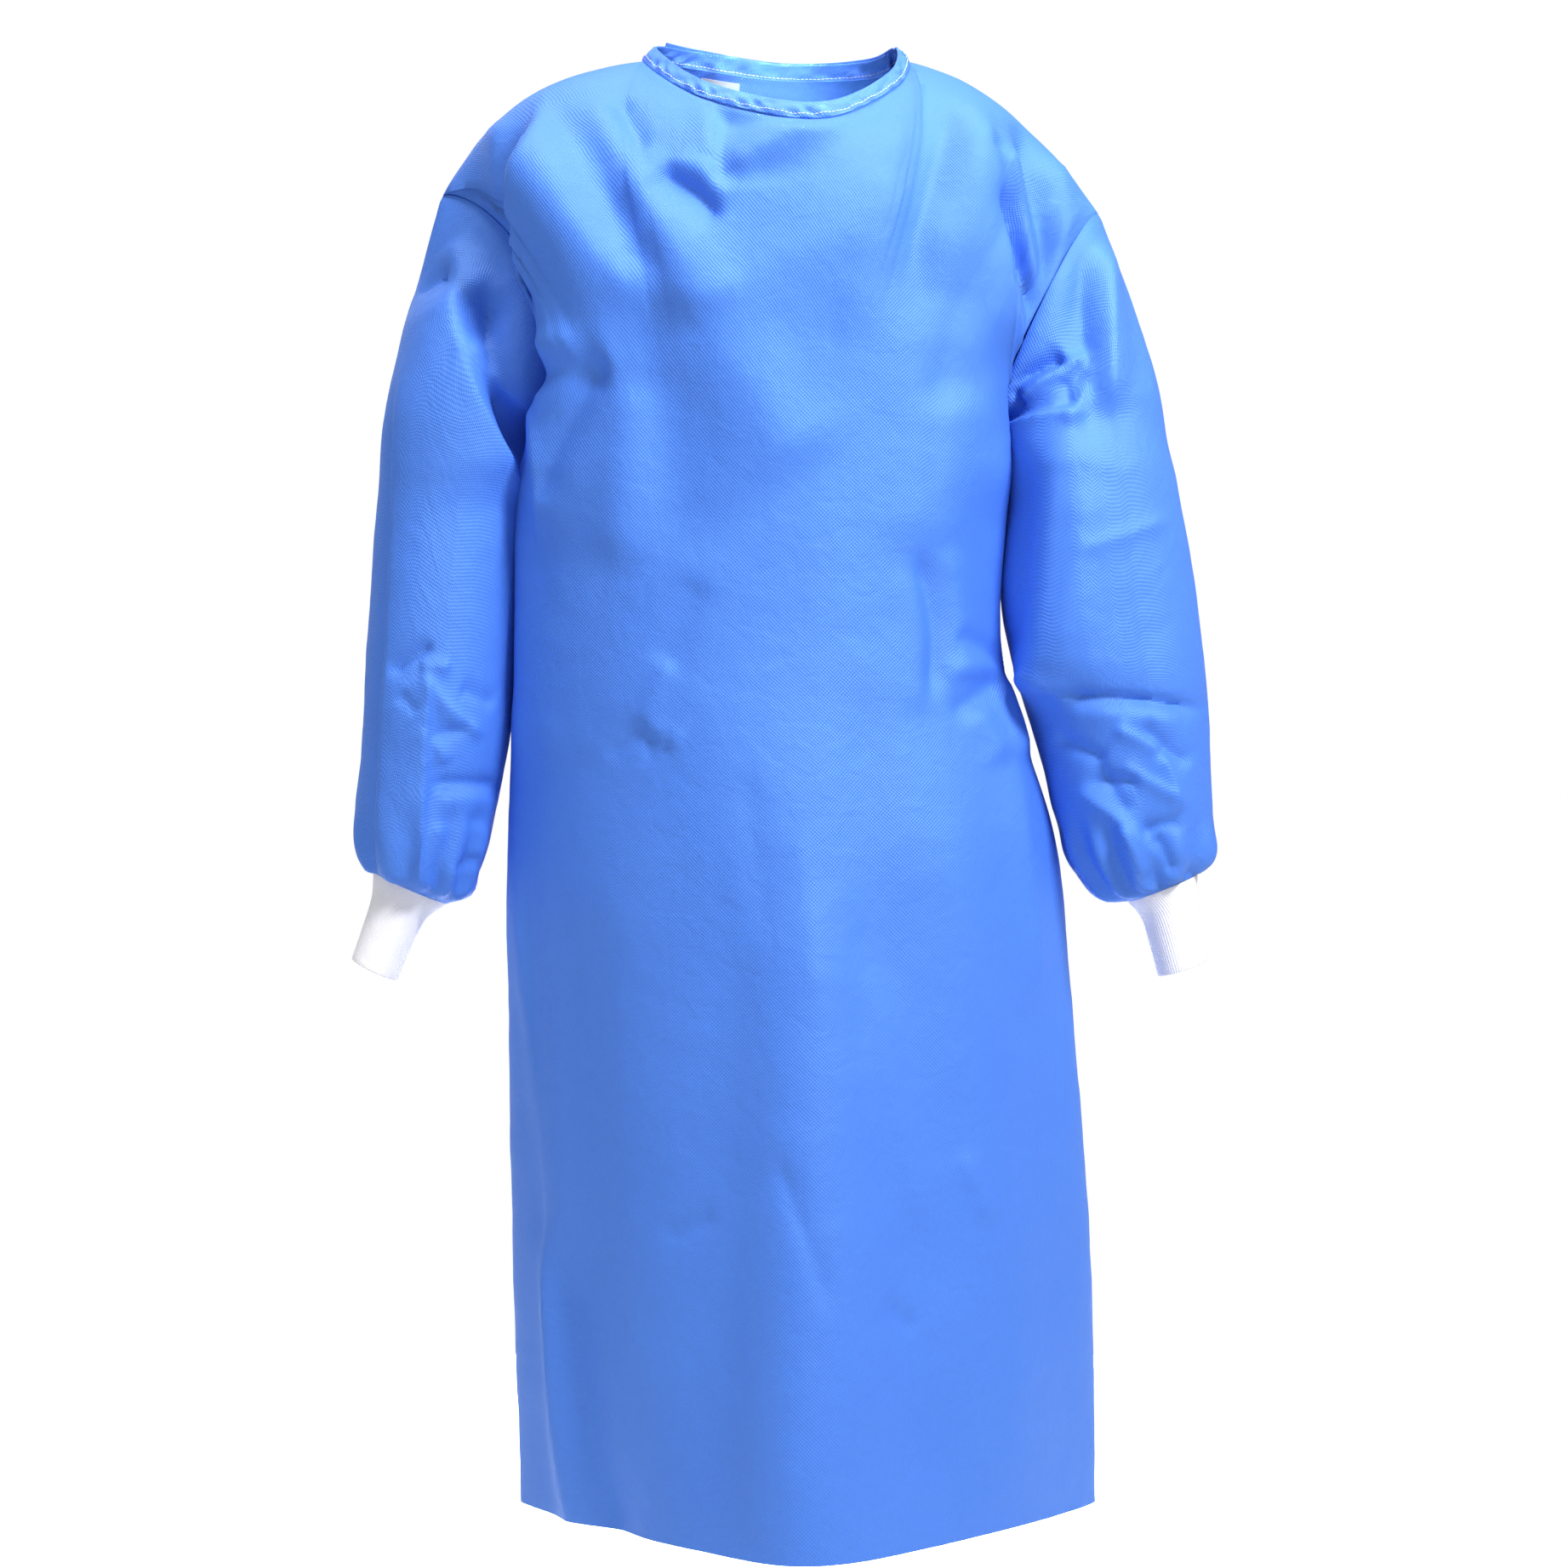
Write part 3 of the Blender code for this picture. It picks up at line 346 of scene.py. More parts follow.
SLEEVE_FOLDS = {
    1: (
        Fold(244, -140, 246, -300, 3, 13, 12, 12, 0.6),  # below the sleeve head
        Fold(226, -140, 230, -290, 3, -14, 22, 11, 0.3),
        Fold(262, -150, 276, -280, 3, -3, 10, 12, 0.2),
        # tucks at the armpit
        Fold(168, -270, 218, -246, 2, -12, 6, 8, 0.6),
        Fold(176, -284, 240, -240, 3, 9, 8, 6, 0.6),
        Fold(172, -268, 186, -286, 0, -6, 4, 4, 0.5),
        Fold(236, -248, 220, -304, 0, 6, 6, 6, 0.5),
        Fold(212, -262, 218, -290, 0, -4, 5, 5, 0.5),
        Fold(160, -302, 232, -290, 3, 12, 22, 3, 0.7),
        # the dark inner side
        Fold(216, -280, 198, -530, 4, 22, 30, 50, 0.3),
        Fold(194, -310, 180, -500, 2, -8, 14, 12, 0.1),
        Fold(232, -340, 214, -490, 2, 4, 10, 16, 0.3),
        Fold(220, -402, 296, -370, 0, 2.5, 7, 7, 0.5),
        # elbow
        Fold(190, -506, 330, -517, 3, -7, 7, 4, 0.8),
        Fold(204, -522, 306, -530, 3, 4, 12, 10, 0.3),
        Fold(186, -486, 224, -514, 0, 7, 7, 8, 0.5),
        Fold(247, -530, 288, -550, 0, 5, 8, 5, 0.7),
        Fold(268, -526, 314, -560, -3, -5, 6, 7, 0.6),
        Fold(283, -548, 302, -600, 3, 5, 8, 5, 0.6),
        Fold(206, -536, 246, -558, 0, -5, 6, 6, 0.6),
        Fold(227, -574, 272, -572, 2, -5, 6, 6, 0.6),
        Fold(220, -576, 288, -638, 4, 5, 8, 6, 0.6),
        Fold(252, -558, 302, -588, 0, 4, 6, 5, 0.5),
        Fold(268, -612, 304, -604, 2, -5, 5, 6, 0.6),
        Fold(282, -610, 298, -644, 0, -6, 5, 6, 0.6),
        Fold(254, -604, 278, -646, 0, 5, 7, 5, 0.5),
        Fold(236, -556, 262, -600, 0, -4, 6, 6, 0.5),
    ),
    -1: (
        Fold(-252, -170, -198, -360, -14, 16, 40, 5, 0.6),  # the front laps inwards
        Fold(-232, -180, -196, -330, -10, -16, 6, 18, 0.3),
        Fold(-246, -232, -186, -298, -2, 10, 6, 20, 0.6),
        Fold(-262, -150, -236, -204, 0, 6, 8, 10, 0.4),
        Fold(-236, -140, -216, -190, 0, -5, 10, 10, 0.3),
        Fold(-282, -193, -258, -178, 2, -4, 4, 5, 0.7),
        Fold(-266, -178, -256, -192, 0, -3, 4, 4, 0.6),
        # the pressed edge along the outside
        Fold(-291, -230, -309, -690, -1, 5, 3, 34, 0.9),
        Fold(-296, -240, -315, -680, -1, -2, 4, 3, 0.6),
        # the pleat above the cuff
        Fold(-267, -480, -280, -680, 1, 7, 26, 2.5, 0.8),
        Fold(-270, -530, -256, -560, 0, 4, 6, 6, 0.4),
        # elbow
        Fold(-299, -492, -264, -468, 2, -5, 5, 6, 0.6),
        Fold(-277, -484, -252, -485, 0, 4, 6, 5, 0.5),
        Fold(-275, -486, -228, -540, -5, 6, 8, 5, 0.7),
        Fold(-274, -540, -236, -533, 2, -5, 5, 6, 0.6),
        Fold(-291, -504, -275, -522, 0, -3, 5, 5, 0.5),
        Fold(-248, -500, -220, -513, 0, -3, 6, 7, 0.5),
        Fold(-272, -574, -206, -577, 2, -6, 6, 6, 0.7),
        Fold(-266, -588, -212, -590, 2, 3, 10, 8, 0.3),
        Fold(-252, -642, -236, -628, 0, -5, 5, 5, 0.5),
        Fold(-262, -600, -258, -652, 0, 5, 6, 7, 0.4),
        Fold(-236, -600, -246, -650, 0, 5, 6, 7, 0.4),
    ),
}
SLEEVE_BACK_FOLDS = {
    side: (
        Fold(side * 225, -200, side * 250, -380, 0, 8, 20, 20, 0.2),
        Fold(side * 290, -300, side * 250, -480, 0, -6, 22, 22, 0.1),
        Fold(side * 300, -470, side * 230, -510, 0, 5, 12, 14, 0.4),
        Fold(side * 290, -510, side * 240, -500, 2, -3, 7, 7, 0.6),
        Fold(side * 300, -540, side * 262, -520, 2, 3, 8, 6, 0.5),
        Fold(side * 305, -560, side * 295, -650, 0, 5, 12, 14, 0.3),
        Fold(side * 255, -550, side * 280, -650, 0, 5, 14, 12, 0.3),
    )
    for side in (1, -1)
}

# The sleeves' gathers into the cuffs
GATHERS = 11
GATHER_RISE = 0.0032
GATHER_REACH = 0.16  # they begin this share of the sleeve above the cuff seam
GATHER_FULL = 0.08  # and are in full after this much
GATHER_SHIFT = 0.18  # how unevenly they are spaced
GATHER_SWAYS = 3

# The binding: how far it leans inwards, by turn, and the pulls that slant over it
Lean = namedtuple("Lean", "turn lean")
LEANS = (
    Lean(0.0, 0.4),
    Lean(NECK_TURN, 0.9),
    Lean(1 - NECK_TURN, 0.9),
    Lean(1 - NECK_TURN / 2, 0.4),
    Lean(1 + LAP_TURN, 0.4),
)
BINDING_UNDER = 0.0019  # it reaches this far down over the panels
BINDING_TURNS = 0.5  # by this share of the way up it has turned from the cloth's facing to its own
PULLS_END = 1 / 1.15  # by this share of the way up the pulls run out
PULLS_SWELL = 0.7  # below 1 they are in full sooner
Pull = namedtuple("Pull", "pitch slant start rise")
PULLS = (
    Pull(0.0146, 0.8, 0.00, 0.0008),
    Pull(0.0390, -0.7, 0.30, 0.0009),
    Pull(0.0207, 1.1, 0.60, 0.0007),
)

# The patch inside the back of the neck
PATCH_TURN = -0.958  # its middle, on the right back panel
PATCH_HEIGHT = 0.022
PATCH_WIDTH = 0.030
PATCH_TOP = 0.0062
PATCH_GAP = 0.0012
PATCH_WALL = 0.0005
PATCH_PROBE = 0.1  # levels below the top edge over which its height is measured

# Stitches
STITCH = 0.0026  # length of a stitch
STITCH_PITCH = 0.0034
STITCH_THICK = 0.0006
STITCH_SIDES = 6
STITCH_FLAT = 0.6  # its thickness off the cloth, as a share of that along it
Swell = namedtuple("Swell", "share size")
STITCH_SWELLS = (Swell(-0.5, 0.45), Swell(-0.25, 1.0), Swell(0.25, 1.0), Swell(0.5, 0.45))
WAIST_STITCHES = 6  # where the tie is sewn on at the wearer's left
WAIST_STITCH_TURN = 0.452

# The flat cut of the cloth, in metres and square metres where it isn't a rectangle
Cut = namedtuple("Cut", "width length area", defaults=[None])

# Colours, linear
BLUE = (0.070, 0.214, 0.800)
BLUE_DEEP = (0.042, 0.150, 0.680)
SHEEN = (0.50, 0.86, 1.00)
SHEEN_ROUGHNESS = 0.45
WHITE_KNIT = (0.86, 0.85, 0.90)
PATCH_GREY = (0.50, 0.54, 0.60)
THREAD = (0.80, 0.86, 0.97)
WHITE = (1, 1, 1)
FLOOR = (0.95, 0.95, 0.95)

# Textures
EMBOSS = 0.0028  # pitch of the embossed dots
RIB = 0.0021  # pitch of the cuffs' ribs
LOOP = 0.00147  # and of their loops
LOOP_SHARE = 0.35  # the loops' height beside the ribs'
DOT_SHADE = 0.45  # how much the dots deepen the blue
PATCHY_SHADE = 0.35
WEAVE = 0.0008  # pitch of the patch's weave

# Camera and light
CAMERA = (0.0, -2.5, -0.574)
FOCAL_PIXELS = 3750
PICTURE_PIXELS = 1843
SENSOR = 36.0
AMBIENT = 0.40  # strength of the backdrop's light; what the camera sees of it is white
Lamp = namedtuple("Lamp", "name at aim size spread power")
LAMPS = (
    Lamp("key", (0.95, -1.10, 0.85), (0.05, 0.0, -0.45), 0.50, 180, 50),
    Lamp("fill", (-2.4, -2.2, 0.0), (0, 0, -0.7), 1.6, 180, 11),
    Lamp("above", (-0.3, -0.2, 1.7), (0, 0, -0.1), 0.9, 90, 9),
    Lamp("behind", (-1.6, 2.4, 1.1), (0, 0, -0.5), 1.2, 180, 10),
    Lamp("into_neck", (0.10, -1.60, 0.25), (-0.01, 0.05, -0.020), 0.08, 6, 0.100),
    Lamp("floor_wash", (0, 2.2, 0.6), (0, 2.2, -1.5), 2.4, 90, 110),
)
FLOOR_BELOW = 0.35
FLOOR_SIZE = 2.6


def through(keys, values, at):
    """A smooth curve through the rows of values, one for each rising key."""
    keys, values, at = np.asarray(keys, float), np.asarray(values, float), np.asarray(at, float)
    slopes = np.gradient(values, keys, axis=0)
    i = np.clip(np.searchsorted(keys, at, side="right") - 1, 0, len(keys) - 2)
    span = keys[i + 1] - keys[i]
    u = np.clip((at - keys[i]) / span, 0, 1)
    shape = at.shape + (1,) * (values.ndim - 1)
    span, u = span.reshape(shape), u.reshape(shape)
    return (
        (1 + 2 * u) * (1 - u) ** 2 * values[i]
        + u * (1 - u) ** 2 * span * slopes[i]
        + u**2 * (3 - 2 * u) * values[i + 1]
        - u**2 * (1 - u) * span * slopes[i + 1]
    )


def ease(share):
    """A smooth step from 0 to 1 as share goes from 0 to 1."""
    share = np.clip(share, 0, 1)
    return share * share * (3 - 2 * share)


def unit(vectors):
    return vectors / np.linalg.norm(vectors, axis=-1, keepdims=True)


def stack(*parts):
    return np.stack(np.broadcast_arrays(*parts), axis=-1)


def folded(folds, x, z):
    """How far the folds lift the cloth at points seen from the front at (x, z)."""
    x, z = x / MILLIMETRE, z / MILLIMETRE
    lift = np.zeros_like(x)
    for fold in folds:
        length = np.hypot(fold.x1 - fold.x0, fold.z1 - fold.z0)
        across, down = (fold.x1 - fold.x0) / length, (fold.z1 - fold.z0) / length
        along = ((x - fold.x0) * across + (z - fold.z0) * down) / length
        off = (z - fold.z0) * across - (x - fold.x0) * down
        off = off - fold.bend * 4 * along * (1 - along)
        away = np.abs(off) / np.where(off < 0, fold.minus, fold.plus)
        soft = np.exp(-(away**2))
        sharp = np.exp(CUSP - np.hypot(away, CUSP))
        fade = ease(np.minimum(along, 1 - along) / FOLD_FADE)
        lift += fold.rise * ((1 - fold.crisp) * soft + fold.crisp * sharp) * fade
    return lift * MILLIMETRE


def uneven(points):
    """The cloth's slow unevenness, by place."""
    flat = points.reshape(-1, 3)
    lift = [noise.fractal(Vector(point) / UNEVEN_SIZE, *UNEVEN_FRACTAL) for point in flat]
    return UNEVEN * np.array(lift).reshape(points.shape[:-1])


def body_ring(turn, height):
    """A point of the body under the armholes."""
    rows = through([row.height for row in BODY], [row[1:] for row in BODY], height)
    right, left, crest, front, back, oval, wing = np.moveaxis(rows, -1, 0)
    sideways, ahead = np.sin(pi * turn), np.cos(pi * turn)
    reach = np.clip(np.abs(sideways), 0, 1)
    round_out = (1 - reach**OVAL_POWER) ** (1 / OVAL_POWER)
    ridge = (np.hypot(1, PROW) - np.hypot(reach, PROW)) / (np.hypot(1, PROW) - PROW)
    out = oval * round_out + (1 - oval) * ridge
    side = np.where(sideways > 0, left - crest, right + crest)
    near = np.abs(np.mod(turn + 1, 2) - 1)
    corner = np.sign(sideways) * wing * np.exp(-(((near - WING_TURN) / WING_SPREAD) ** 2))
    return stack(crest + side * sideways + corner, np.where(ahead > 0, -front, back) * out, height)


def neckline(angle):
    """The closed neckline, by angle in degrees."""
    rows = [row for shift in (-360, 0, 360) for row in (Corner(c.angle + shift, *c[1:]) for c in NECKLINE)]
    return through([row.angle for row in rows], [row[1:] for row in rows], np.mod(angle, 360))


def armhole(side, angle):
    """The armhole, from its top (0) round its front (90) to the pit (180) and back (270)."""
    shoulder = SHOULDERS[side]
    tip, pit = np.array(shoulder.tip), np.array(shoulder.pit)
    turn = np.radians(angle)[..., None]
    reach = np.where(np.sin(turn) > 0, np.array(shoulder.front), -np.array(shoulder.back))
    return (tip + pit) / 2 + np.cos(turn) * (tip - pit) / 2 + np.sin(turn) * reach


def shoulder_seam(side, share):
    """The shoulder seam, from the neck point to the tip."""
    neck = neckline(np.array(90.0 if side > 0 else 270.0))
    crown, tip = np.array(SHOULDERS[side].crown), np.array(SHOULDERS[side].tip)
    share = share[..., None]
    return (1 - share) ** 2 * neck + 2 * share * (1 - share) * crown + share**2 * tip


def top_edge(turn):
    """Where the body's cloth ends, and the way it heads there."""
    turn = np.mod(turn + 1, 2) - 1
    in_front = np.abs(turn) < 0.5
    near = np.minimum(np.abs(turn), 1 - np.abs(turn))
    quarter = 90 * np.clip(near / NECK_TURN, 0, 1)
    angle = np.where(in_front, quarter, 180 - quarter)
    at = neckline(np.where(turn < 0, 360 - angle, angle))
    for side in (1, -1):
        here = (turn >= 0) if side > 0 else (turn < 0)
        seam = shoulder_seam(side, np.clip((near - NECK_TURN) / (TIP_TURN - NECK_TURN), 0, 1))
        down = 180 * np.clip((near - TIP_TURN) / (0.5 - TIP_TURN), 0, 1)
        hole = armhole(side, np.where(in_front, down, 360 - down))
        at = np.where((here & (near > NECK_TURN))[..., None], seam, at)
        at = np.where((here & (near > TIP_TURN))[..., None], hole, at)
    heading = through([row.turn for row in HEADINGS], [row[1:] for row in HEADINGS], near)
    sign = stack(np.where(turn < 0, -1, 1), np.where(in_front, 1, -1), 1.0)
    return at, unit(heading * sign)


def body_form(turn, level):
    """The body without folds. level 0 is the hem, 1 the yoke ring and 2 the top edge."""
    height = HEM + (YOKE - HEM) * np.clip(level, 0, 1)
    ring = body_ring(turn, height)
    upwards = unit(body_ring(turn, YOKE) - body_ring(turn, YOKE - RING_STEP))
    top, heading = top_edge(turn)
    soft_top = sum(even.share * top_edge(turn + even.shift)[0] for even in EVENED)
    soft_top = soft_top / sum(even.share for even in EVENED)
    reach = np.linalg.norm(soft_top - ring, axis=-1, keepdims=True)
    rise = np.clip(level - 1, 0, 1)[..., None]
    first = ring + upwards * reach * HANDLES[0]
    second = soft_top - heading * reach * HANDLES[1]
    arch = (
        (1 - rise) ** 3 * ring
        + 3 * rise * (1 - rise) ** 2 * first
        + 3 * rise**2 * (1 - rise) * second
        + rise**3 * soft_top
    )
    arch += (top - soft_top) * ease((rise - EVENED_UP_TO) / (1 - EVENED_UP_TO))
    return np.where((level > 1)[..., None], arch, ring)


def normals(surface, turn, level, top):
    """Unit normals of a surface whose levels run from 0 to top."""
    level = np.clip(level, SLOPE_STEP, top - SLOPE_STEP)
    along = surface(turn + SLOPE_STEP, level) - surface(turn - SLOPE_STEP, level)
    up = surface(turn, level + SLOPE_STEP) - surface(turn, level - SLOPE_STEP)
    return unit(np.cross(along, up))


def body_surface(turn, level):
    """The body's outer surface, folds and all."""
    form = body_form(turn, level)
    facing = normals(body_form, turn, level, top=2)
    x, z = form[..., 0], form[..., 2]
    front = folded(FRONT_FOLDS, x, z) * ease(-facing[..., 1] / FACING)
    back = folded(BACK_FOLDS, x, z) * ease(facing[..., 1] / FACING)
    pressed = 1 - np.exp(-(((z - WAIST) / PRESS) ** 2)) * (np.abs(np.mod(turn, 2) - 1) < 0.5)
    arch = np.linalg.norm(top_edge(turn)[0] - body_ring(turn, YOKE), axis=-1)
    lift = (front + back * pressed) * ease((2 - level) * arch / CALM) + uneven(form)
    return form + facing * lift[..., None]


def ring_point(ring, side, turn):
    """A point of a sleeve's ring: 0 is its outer side, 0.25 the front, 0.5 the inner side."""
    tilt = radians(ring.tilt)
    outwards = np.array((side * cos(tilt), 0, sin(tilt)))
    middle = np.array((ring.x, ring.y, ring.z))
    angle = 2 * pi * turn[..., None]
    depth = np.array((0, -ring.half_depth, 0))
    return middle + ring.half_width * np.cos(angle) * outwards + np.sin(angle) * depth


def sleeve_form(side, turn, level):
    """The sleeve without folds. level 0 is the armhole and 1 the cuff seam."""
    rings = [armhole(side, 360 * turn)] + [ring_point(ring, side, turn) for ring in SLEEVES[side]]
    points = np.stack(rings)
    middles = points.reshape(len(rings), -1, 3).mean(axis=1)
    steps = np.linalg.norm(np.diff(middles, axis=0), axis=-1)
    keys = np.concatenate([[0], np.cumsum(steps)]) / steps.sum()
    weights = through(keys, np.eye(len(rings)), level)
    return np.einsum("...r,r...c->...c", weights, points)


def sleeve_surface(side, turn, level):
    """The sleeve's outer surface, folds and gathers and all."""

    def form(at_turn, at_level):
        return sleeve_form(side, at_turn, at_level)

    plain = form(turn, level)
    facing = side * normals(form, turn, level, top=1)
    x, z = plain[..., 0], plain[..., 2]
    lift = folded(SLEEVE_FOLDS[side], x, z) * ease(-facing[..., 1] / FACING)
    lift += folded(SLEEVE_BACK_FOLDS[side], x, z) * ease(facing[..., 1] / FACING)
    near_cuff = ease((level - 1 + GATHER_REACH) / GATHER_FULL) * ease((1 - level) / CUFF_CALM)
    lift = lift * ease(level / SLEEVE_CALM) * ease((1 - level) / CUFF_CALM)
    shifted = turn + GATHER_SHIFT / GATHERS * np.sin(2 * pi * GATHER_SWAYS * turn)
    lift += GATHER_RISE * np.cos(2 * pi * GATHERS * shifted) * near_cuff
    lift += uneven(plain)
    return plain + facing * lift[..., None]


def stretches(*ends_and_faces):
    """Values from the first end on, each later end reached in its number of equal steps."""
    values = [ends_and_faces[0]]
    for end, faces in zip(ends_and_faces[1::2], ends_and_faces[2::2]):
        values += list(np.linspace(values[-1], end, faces + 1)[1:])
    return np.array(values)


def level_of(height):
    """The level of a height below the yoke."""
    return (height - HEM) / (YOKE - HEM)


def body_levels():
    """From the hem to the top edge, with a row of faces for the ties."""
    tie_low, tie_high = level_of(WAIST - TIE_WIDTH / 2), level_of(WAIST + TIE_WIDTH / 2)
    return stretches(0.0, tie_low, SKIRT_ROWS, tie_high, TIE_ROWS, 1.0, MIDRIFF_ROWS, 2.0, YOKE_ROWS)


def front_turns():
    """From side to side across the front."""
    arm, shoulder = ARMHOLE_FACES["front"], SHOULDER_FACES
    return stretches(
        -0.5, -TIP_TURN, arm, -NECK_TURN, shoulder, NECK_TURN, NECK_FACES, TIP_TURN, shoulder, 0.5, arm
    )


def back_turns():
    """From the side to past the middle of the back, for the wearer's left panel."""
    half_neck = BACK_NECK_FACES // 2
    return stretches(
        0.5,
        1 - TIP_TURN,
        ARMHOLE_FACES["back"],
        1 - NECK_TURN,
        SHOULDER_FACES,
        1 - LAP_TURN,
        half_neck,
        1.0,
        half_neck,
        1 + LAP_TURN,
        LAP_FACES,
    )


def lap_out(turn):
    """How far the wearer's left back panel stands out where it covers the other."""
    return LAP * ease((turn - (1 - LAP_TURN - LAP_RAMP)) / LAP_RAMP)


def over_lap(turn):
    """How far the wearer's right tie stands out, to pass over the edge of the outer panel."""
    return (LAP + WALL) * ease((-turn - (1 - LAP_TURN - LAP_RAMP)) / LAP_RAMP)


def grid_normals(points, closed=False):
    """Unit normals of a grid of points; closed joins the last column to the first."""
    if closed:
        along = np.roll(points, -1, axis=1) - np.roll(points, 1, axis=1)
    else:
        along = np.gradient(points, axis=1)
    return unit(np.cross(along, np.gradient(points, axis=0)))


def cut_places(points, closed=False):
    """Each point's place on the flat cloth, in metres along the rows and up the columns."""
    wrapped = np.concatenate([points, points[:, :1]], axis=1) if closed else points
    along = np.cumsum(np.linalg.norm(np.diff(wrapped, axis=1), axis=-1), axis=1)
    along = np.pad(along, ((0, 0), (1, 0)))
    along -= along[:, along.shape[1] // 2, None]
    up = np.cumsum(np.linalg.norm(np.diff(wrapped, axis=0), axis=-1), axis=0)
    return np.stack([along, np.pad(up, ((1, 0), (0, 0)))], axis=-1)


def mesh_piece(name, points, faces, material):
    """An object of the given points and faces."""
    mesh = bpy.data.meshes.new(name)
    mesh.from_pydata(np.asarray(points).tolist(), [], faces)
    mesh.materials.append(bpy.data.materials[material])
    piece = bpy.data.objects.new(name, mesh)
    bpy.context.scene.collection.objects.link(piece)
    return piece


def cloth_piece(name, points, faces, places, material):
    """A smooth piece with each face corner's place on the flat cloth."""
    piece = mesh_piece(name, points, faces.tolist(), material)
    layer = piece.data.uv_layers.new(name="cut")
    layer.data.foreach_set("uv", np.asarray(places, np.float32).ravel())
    piece.data.shade_smooth()
    piece.data.set_sharp_from_angle(angle=radians(SHARP))
    return piece


def shell(name, outer, facing, wall, material="gown_cloth", closed=False, flip=False):
    """A thin closed shell: the outer grid, an inner one a wall behind it, and their edges."""
    rows, columns = outer.shape[:2]
    places = cut_places(outer, closed)
    count = rows * columns
    across = columns if closed else columns - 1
    i, j = (grid.ravel() for grid in np.meshgrid(np.arange(rows - 1), np.arange(across), indexing="ij"))
    corners = [(i, j), (i, j + 1), (i + 1, j + 1), (i + 1, j)]
    front = np.stack([r * columns + c % columns for r, c in corners], axis=-1)
    front_places = np.stack([places[r, c] for r, c in corners], axis=1)
    faces, at = [front, front[:, ::-1] + count], [front_places, front_places[:, ::-1]]
    ends = [(row, np.arange(across), row > 0) for row in (0, rows - 1)]
    for row, c, last in ends:
        edge = np.stack([row * columns + c, row * columns + (c + 1) % columns], axis=-1)
        quad = np.concatenate([edge[:, ::-1], edge + count], axis=1)
        spot = places[row, np.stack([c + 1, c, c, c + 1], axis=-1)]
        faces.append(quad[:, ::-1] if last else quad)
        at.append(spot[:, ::-1] if last else spot)
    for column in () if closed else (0, columns - 1):
        r = np.arange(rows - 1)
        edge = np.stack([r * columns + column, (r + 1) * columns + column], axis=-1)
        quad = np.concatenate([edge, edge[:, ::-1] + count], axis=1)
        spot = places[np.stack([r, r + 1, r + 1, r], axis=-1), column]
        faces.append(quad[:, ::-1] if column else quad)
        at.append(spot[:, ::-1] if column else spot)
    faces, at = np.concatenate(faces), np.concatenate(at)
    if flip:
        faces, at = faces[:, ::-1], at[:, ::-1]
    points = np.concatenate([outer.reshape(-1, 3), (outer - facing * wall).reshape(-1, 3)])
    return cloth_piece(name, points, faces, at, material)


def doubled(name, outer, facing, heading, wall, material="gown_cloth", closed=False, flip=False):
    """Cloth folded back on itself: the outer grid, a rounded fold past its last row, and an inner grid."""
    middle, half = outer[-1] - facing[-1] * wall / 2, wall / 2
    angles = [pi * step / HEM_ARC for step in range(1, HEM_ARC)]
    fold = [middle + half * (cos(a) * facing[-1] + sin(a) * heading) for a in angles]
    loop = np.concatenate([outer, fold, (outer - facing * wall)[::-1]])
    rows, columns = loop.shape[:2]
    across = columns if closed else columns - 1
    places = cut_places(loop, closed)
    places = np.concatenate([places, places[:1]])
    i, j = (grid.ravel() for grid in np.meshgrid(np.arange(rows), np.arange(across), indexing="ij"))
    corners = [(i, j), (i, j + 1), (i + 1, j + 1), (i + 1, j)]
    faces = np.stack([(r % rows) * columns + c % columns for r, c in corners], axis=-1)
    at = np.stack([places[r, c] for r, c in corners], axis=1)
    faces, at = list(faces), list(at)
    half_rows = len(outer)
    for column in () if closed else (0, columns - 1):
        inner = [rows - 1 - r for r in range(half_rows)]
        for r in range(half_rows - 1):
            quad = [r, r + 1, inner[r + 1], inner[r]]
            quad = quad[::-1] if column else quad
            faces.append(np.array([q * columns + column for q in quad]))
            at.append(np.array([places[q, column] for q in quad]))
    faces, at = np.array(faces), np.array(at)
    if flip:
        faces, at = faces[:, ::-1], at[:, ::-1]
    return cloth_piece(name, loop.reshape(-1, 3), faces, at, material)


def maths(tree, operation, *values):
    """The result of a maths node on sockets or numbers."""
    made = tree.nodes.new("ShaderNodeMath")
    made.operation = operation
    for socket, value in zip(made.inputs, values):
        if isinstance(value, (int, float)):
            socket.default_value = value
        else:
            tree.links.new(value, socket)
    return made.outputs[0]


def fabric(name, colour, roughness, sheen=0.0, tint=WHITE, specular=0.4):
    """A new material with its shader's constant values set: its tree and its shader."""
    made = bpy.data.materials.new(name)
    made.use_nodes = True
    shader = made.node_tree.nodes["Principled BSDF"]
    shader.inputs["Base Color"].default_value = (*colour, 1)
    shader.inputs["Roughness"].default_value = roughness
    shader.inputs["Specular IOR Level"].default_value = specular
    shader.inputs["Sheen Weight"].default_value = sheen
    shader.inputs["Sheen Roughness"].default_value = SHEEN_ROUGHNESS
    shader.inputs["Sheen Tint"].default_value = (*tint, 1)
    shader.inputs["Specular Tint"].default_value = (*tint, 1)
    return made.node_tree, shader


def place_on_cloth(tree):
    """The place on the flat cloth, in metres: as one socket, and across and up."""
    source = tree.nodes.new("ShaderNodeUVMap")
    source.uv_map = "cut"
    split = tree.nodes.new("ShaderNodeSeparateXYZ")
    tree.links.new(source.outputs["UV"], split.inputs[0])
    return source.outputs["UV"], split.outputs[0], split.outputs[1]


def waves(tree, place, pitch):
    """A wave from -1 to 1 along one way of the cloth."""
    return maths(tree, "COSINE", maths(tree, "MULTIPLY", place, 2 * pi / pitch))


